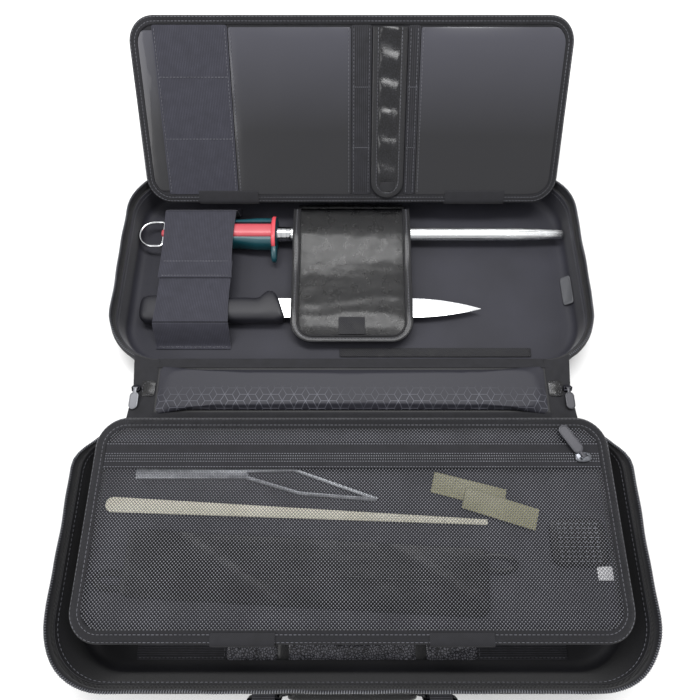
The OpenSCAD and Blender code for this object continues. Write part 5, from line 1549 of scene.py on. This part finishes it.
# %% The leather strap
strap_x, strap_w, strap_out, turned_w = 36.5, 33, 4.15, 6.4
foot, head = 4.6, 160.4               # the strap's rounded foot and its hinge, up the page
r = strap_w / 2
inset = turned_w - 1.0
ups = foot + r - (r - inset) * np.cos(np.linspace(0, math.pi / 2, 10))
ups = np.concatenate([ups, np.linspace(foot + r, head, 76)[1:]])
half = np.sqrt(np.maximum((r - inset) ** 2 - np.maximum(foot + r - ups, 0) ** 2, 0))
half[0] = 1.0
X, U = half[:, None] * np.linspace(-1, 1, 17)[None], np.broadcast_to(ups[:, None], (len(ups), 17))
rim_fall = np.clip((half[:, None] - np.abs(X)) / 4, 0, 1) ** 0.7 * np.clip((U - foot - turned_w) / 4, 0, 1)
cross = 0.25 * dents(X * 0.3, U, 12, 81, 2) + 0.08 * dents(X, U, 6, 82, 2)
rolls = 1.2 * np.sin(U * 2 * math.pi / 26 + 0.9 + 0.4 * np.sin(X / 6))
strap = cloth(stand(X + strap_x, U, strap_out + 0.8 + rim_fall * (1.1 + rolls + cross)), 1.5)
piece("page_strap_leather", strap, smooth_leather, "page_strap", "page_strap")


def strap_edge(inset, out):
    """A line down one side of the strap, round its foot and up the other side."""
    up_side = np.linspace(head, foot + r, 60)
    line = [(inset - r, k) for k in up_side]
    line += [((r - inset) * math.cos(k), foot + r + (r - inset) * math.sin(k))
             for k in np.linspace(math.pi, 2 * math.pi, 26)[1:-1]]
    line = np.array(line + [(r - inset, k) for k in up_side[::-1]])
    return stand(line[:, 0] + strap_x, line[:, 1], strap_out + out)


edge = sweep(strap_edge(turned_w / 2, 1.15), oval(turned_w, 2.3, 3.2, 16), up=out_of_page)
piece("page_strap_edge", edge, edge_leather, "page_strap")
stitches = beads(strap_edge(turned_w - 1.2, 2.3), 3.2, (2.2, 0.6, 0.5), up=out_of_page)
piece("page_strap_stitches", stitches, thread, "page_strap")
flat = rounded_grid(14, 9, 1, 8, 6)
tab = stand(flat[..., 0] + strap_x, flat[..., 1] + 16.5, strap_out + 2.6)
piece("page_strap_hook_tab", cloth(tab, 0.9), hook_cloth, "page_strap", "page_strap_tab")
print("strap")

# %% [markdown]
# ## Tabs that carry the pages
#
# Both pages turn on wide cloth tabs. A tab is sewn to the lining at one end and wraps round the page's edge
# at the other. The wrap rides on the page, and the free stretch is left on no body, where it was made.

# %% Tabs of the sleeve page and of the mesh page
def strip_of(line, x, w, thick, seed, rows=26):
    grid = ribbon(np.linspace(x - w / 2, x + w / 2, 20), resample(soften(line), rows))
    grid[..., 2] += 0.12 * dents(grid[..., 0], grid[..., 1], 20, seed, 2)
    return cloth(grid, thick)


def page_line(points):
    return [tuple(stand(0, up, out)[1:]) for up, out in points]


sleeve_wrap = page_line([(12, 4.3), (8.6, 4.5), (5, 4.6), (1.4, 4.5), (-0.7, 3.4), (-1.2, 1.4), (-0.4, -0.7),
                         (2.5, -1.1)])
sleeve_drop = page_line([(1.5, -1.1)]) + [(345.2, 29.6), (356.9, 26.4), (360.9, 23.4), (361.9, 20.4),
                                          (361.9, 15.5)]
mesh_wrap = [(-74.8, 57), (-75.0, 60), (-74.6, 63.4), (-72.5, 64.4), (-69, 64.3), (-65.5, 63.9)]
mesh_rise = [(-61, 6.8), (-70, 6.8), (-72.2, 8), (-72.5, 12), (-72.6, 40), (-73.4, 52), (-74.6, 56),
             (-74.9, 58.2)]
for side, word in left_right:
    x = side * 128
    piece("sleeve_wrap_" + word, strip_of(sleeve_wrap, x, 62, 1.0, 91), fold_cloth, "sleeve_page")
    tab = piece("sleeve_tab_" + word, strip_of(sleeve_drop, x, 62, 1.2, 92), fold_cloth,
                instead="sleeve_page_tabs")
    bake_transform(tab)
for side, word in left_right:
    x = side * 81.3
    piece("mesh_wrap_" + word, strip_of(mesh_wrap, x, 48, 1.0, 93), fold_cloth, "mesh_page")
    tab = piece("mesh_tab_" + word, strip_of(mesh_rise, x, 48, 1.2, 94, rows=34), fold_cloth,
                instead="mesh_page_tabs")
    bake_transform(tab)
print("eight tab pieces")

# %% [markdown]
# ## The carry handle
#
# On the front wall a padded grip hangs from two plated rings. Each ring passes through a webbing loop
# sewn to a patch on the wall, and a webbing strap runs from its lower bar into the grip's end.

# %% Patches, rings, straps and grip
carry_x, carry_y, carry_z, patch_y = 66, -113, 44, -106.8
ring_w, ring_d, bend_r = 11.5, 12, 2
ring_parts, wraps = [], []
for side, word in left_right:
    x = side * carry_x
    flat = rounded_grid(26, 20, 2, 12, 10)
    patch = cloth(np.stack([flat[..., 0] + x, np.full(flat.shape[:2], patch_y), flat[..., 1] + 40], 2), 1.5)
    piece("handle_patch_" + word, patch, webbing_cloth, "base")
    crossed = [beads([(x - 11, patch_y - 0.85, z0), (x + 11, patch_y - 0.85, z1)], 2.8, (2.0, 0.5, 0.5),
                     up=(0, -1, 0)) for z0, z1 in ((32, 32), (48, 48), (32, 48), (48, 32))]
    piece("handle_patch_stitches_" + word, crossed, thread, "base")
    loop = [(carry_y - 2.35 * math.cos(k), carry_z + 2.35 * math.sin(k))
            for k in np.linspace(-math.pi / 2, math.pi / 2, 9)]
    loop = [(-107.4, carry_z - 2.4)] + loop + [(-107.4, carry_z + 2.4)]
    loop = ribbon(np.linspace(x - 8.5, x + 8.5, 10), loop)
    piece("handle_loop_" + word, cloth(loop, 1.3), webbing_cloth, "base", "handle_anchors")
    ring = []
    far_x, far_z = ring_w - bend_r, ring_d - bend_r
    for cx, cz, start in ((far_x, -bend_r, 0), (-far_x, -bend_r, 90), (-far_x, -far_z, 180),
                          (far_x, -far_z, 270)):
        for k in np.linspace(0, 90, 6):
            b = math.radians(start + k)
            ring.append((x + cx + bend_r * math.cos(b), carry_y, carry_z + cz + bend_r * math.sin(b)))
    ring_parts.append(sweep(ring, oval(3, 3, n=12), up=(0, 1, 0), ring=True))
    rows = [np.column_stack([side * (np.linspace(57, 75, 10) - 14 * k / 17), np.full(10, carry_y),
                             np.full(10, carry_z - 12 - k)]) for k in np.linspace(0, 17, 10)]
    piece("handle_strap_" + word, cloth(np.array(rows), 2.7), webbing_cloth, "carry_handle",
          "handle_straps")
    wraps.append(sweep([(side * along, carry_y, 32) for along in (57, 63, 75)], oval(6, 6, n=16)))
piece("handle_ring_wires", ring_parts, dark_plate, "carry_handle", "handle_rings")
piece("handle_strap_wraps", wraps, webbing_cloth, "carry_handle")
rings, x_end, grip_z = [], 50, 18
for x in np.concatenate([-x_end + np.array([0, 0.4, 1.4, 3, 5.5]), np.linspace(-43, 43, 32),
                         x_end - np.array([5.5, 3, 1.4, 0.4, 0])]):
    end = np.clip((x_end + 0.3 - abs(x)) / 6, 0, 1) ** 0.45
    belly = 1 + 0.04 * math.cos(x / 46 * math.pi / 2) - 0.03 * abs(math.sin(x / 9.5))
    ring = oval(10.8 * (0.45 + 0.55 * end) * belly, 21.6 * (0.55 + 0.45 * end), 2.8, 28)
    rings.append(np.column_stack([np.full(28, x), carry_y + ring[:, 0], grip_z + ring[:, 1]]))
grip = piece("handle_padded_grip", loft(rings), coated_leather, "carry_handle", "handle_grip")
seam = [(x, carry_y, grip_z - 10.95) for x in np.linspace(-44, 44, 36)]
piece("handle_grip_seam", beads(seam, 3.2, (2.3, 0.7, 0.6), up=(0, 0, -1)), thread, "carry_handle")
print("carry handle")

# %% [markdown]
# ## The cut sheets
#
# Every loose sheet was cut flat before it was sewn, laid, folded or stretched. The weave attribute holds the
# distances along and across each sheet, and its extent is the size of the cut; below, the weave of each sheet
# is only read, grouped as laid, folded or stretched. Bonded linings are moulded skins, and strips narrower
# than a centimetre are trimmings, so neither is among them.

# %% Read the weave of each sheet
def cut_sheet(name):
    made = bpy.data.objects[name]
    weave = np.empty(len(made.data.vertices) * 3)
    made.data.attributes["weave"].data.foreach_get("vector", weave)


def pairs_of(*stems):
    return [stem + "_" + word for stem in stems for _, word in left_right]


laid = ["mesh_page_back_cloth", "sleeve_page_back", "spine_outer_cover", "floor_pocket_leather",
        "flap_hook_tab_cloth", "pocket_tape_back", "sleeve_strip_left", "sleeve_strip_right",
        "sleeve_side_strip", "blank_label", "page_strap_leather"]
laid += pairs_of("webbing", "patch", "zip_end_tab", "sleeve_pocket", "gusset_seam", "handle_patch",
                 "handle_strap")
folded = ["flap_leather", "flap_root_leather", "band_root_far", "band_root_near"]
folded += pairs_of("sleeve_wrap", "sleeve_tab", "mesh_wrap", "mesh_tab", "gusset_near", "gusset_far",
                   "handle_loop")
for held, names in (("laid", laid), ("folded", folded),
                    ("stretched", ["sleeve_elastic", "band_leaf_far", "band_leaf_near"])):
    for name in names:
        cut_sheet(name)
cut_sheet("pocket_net")
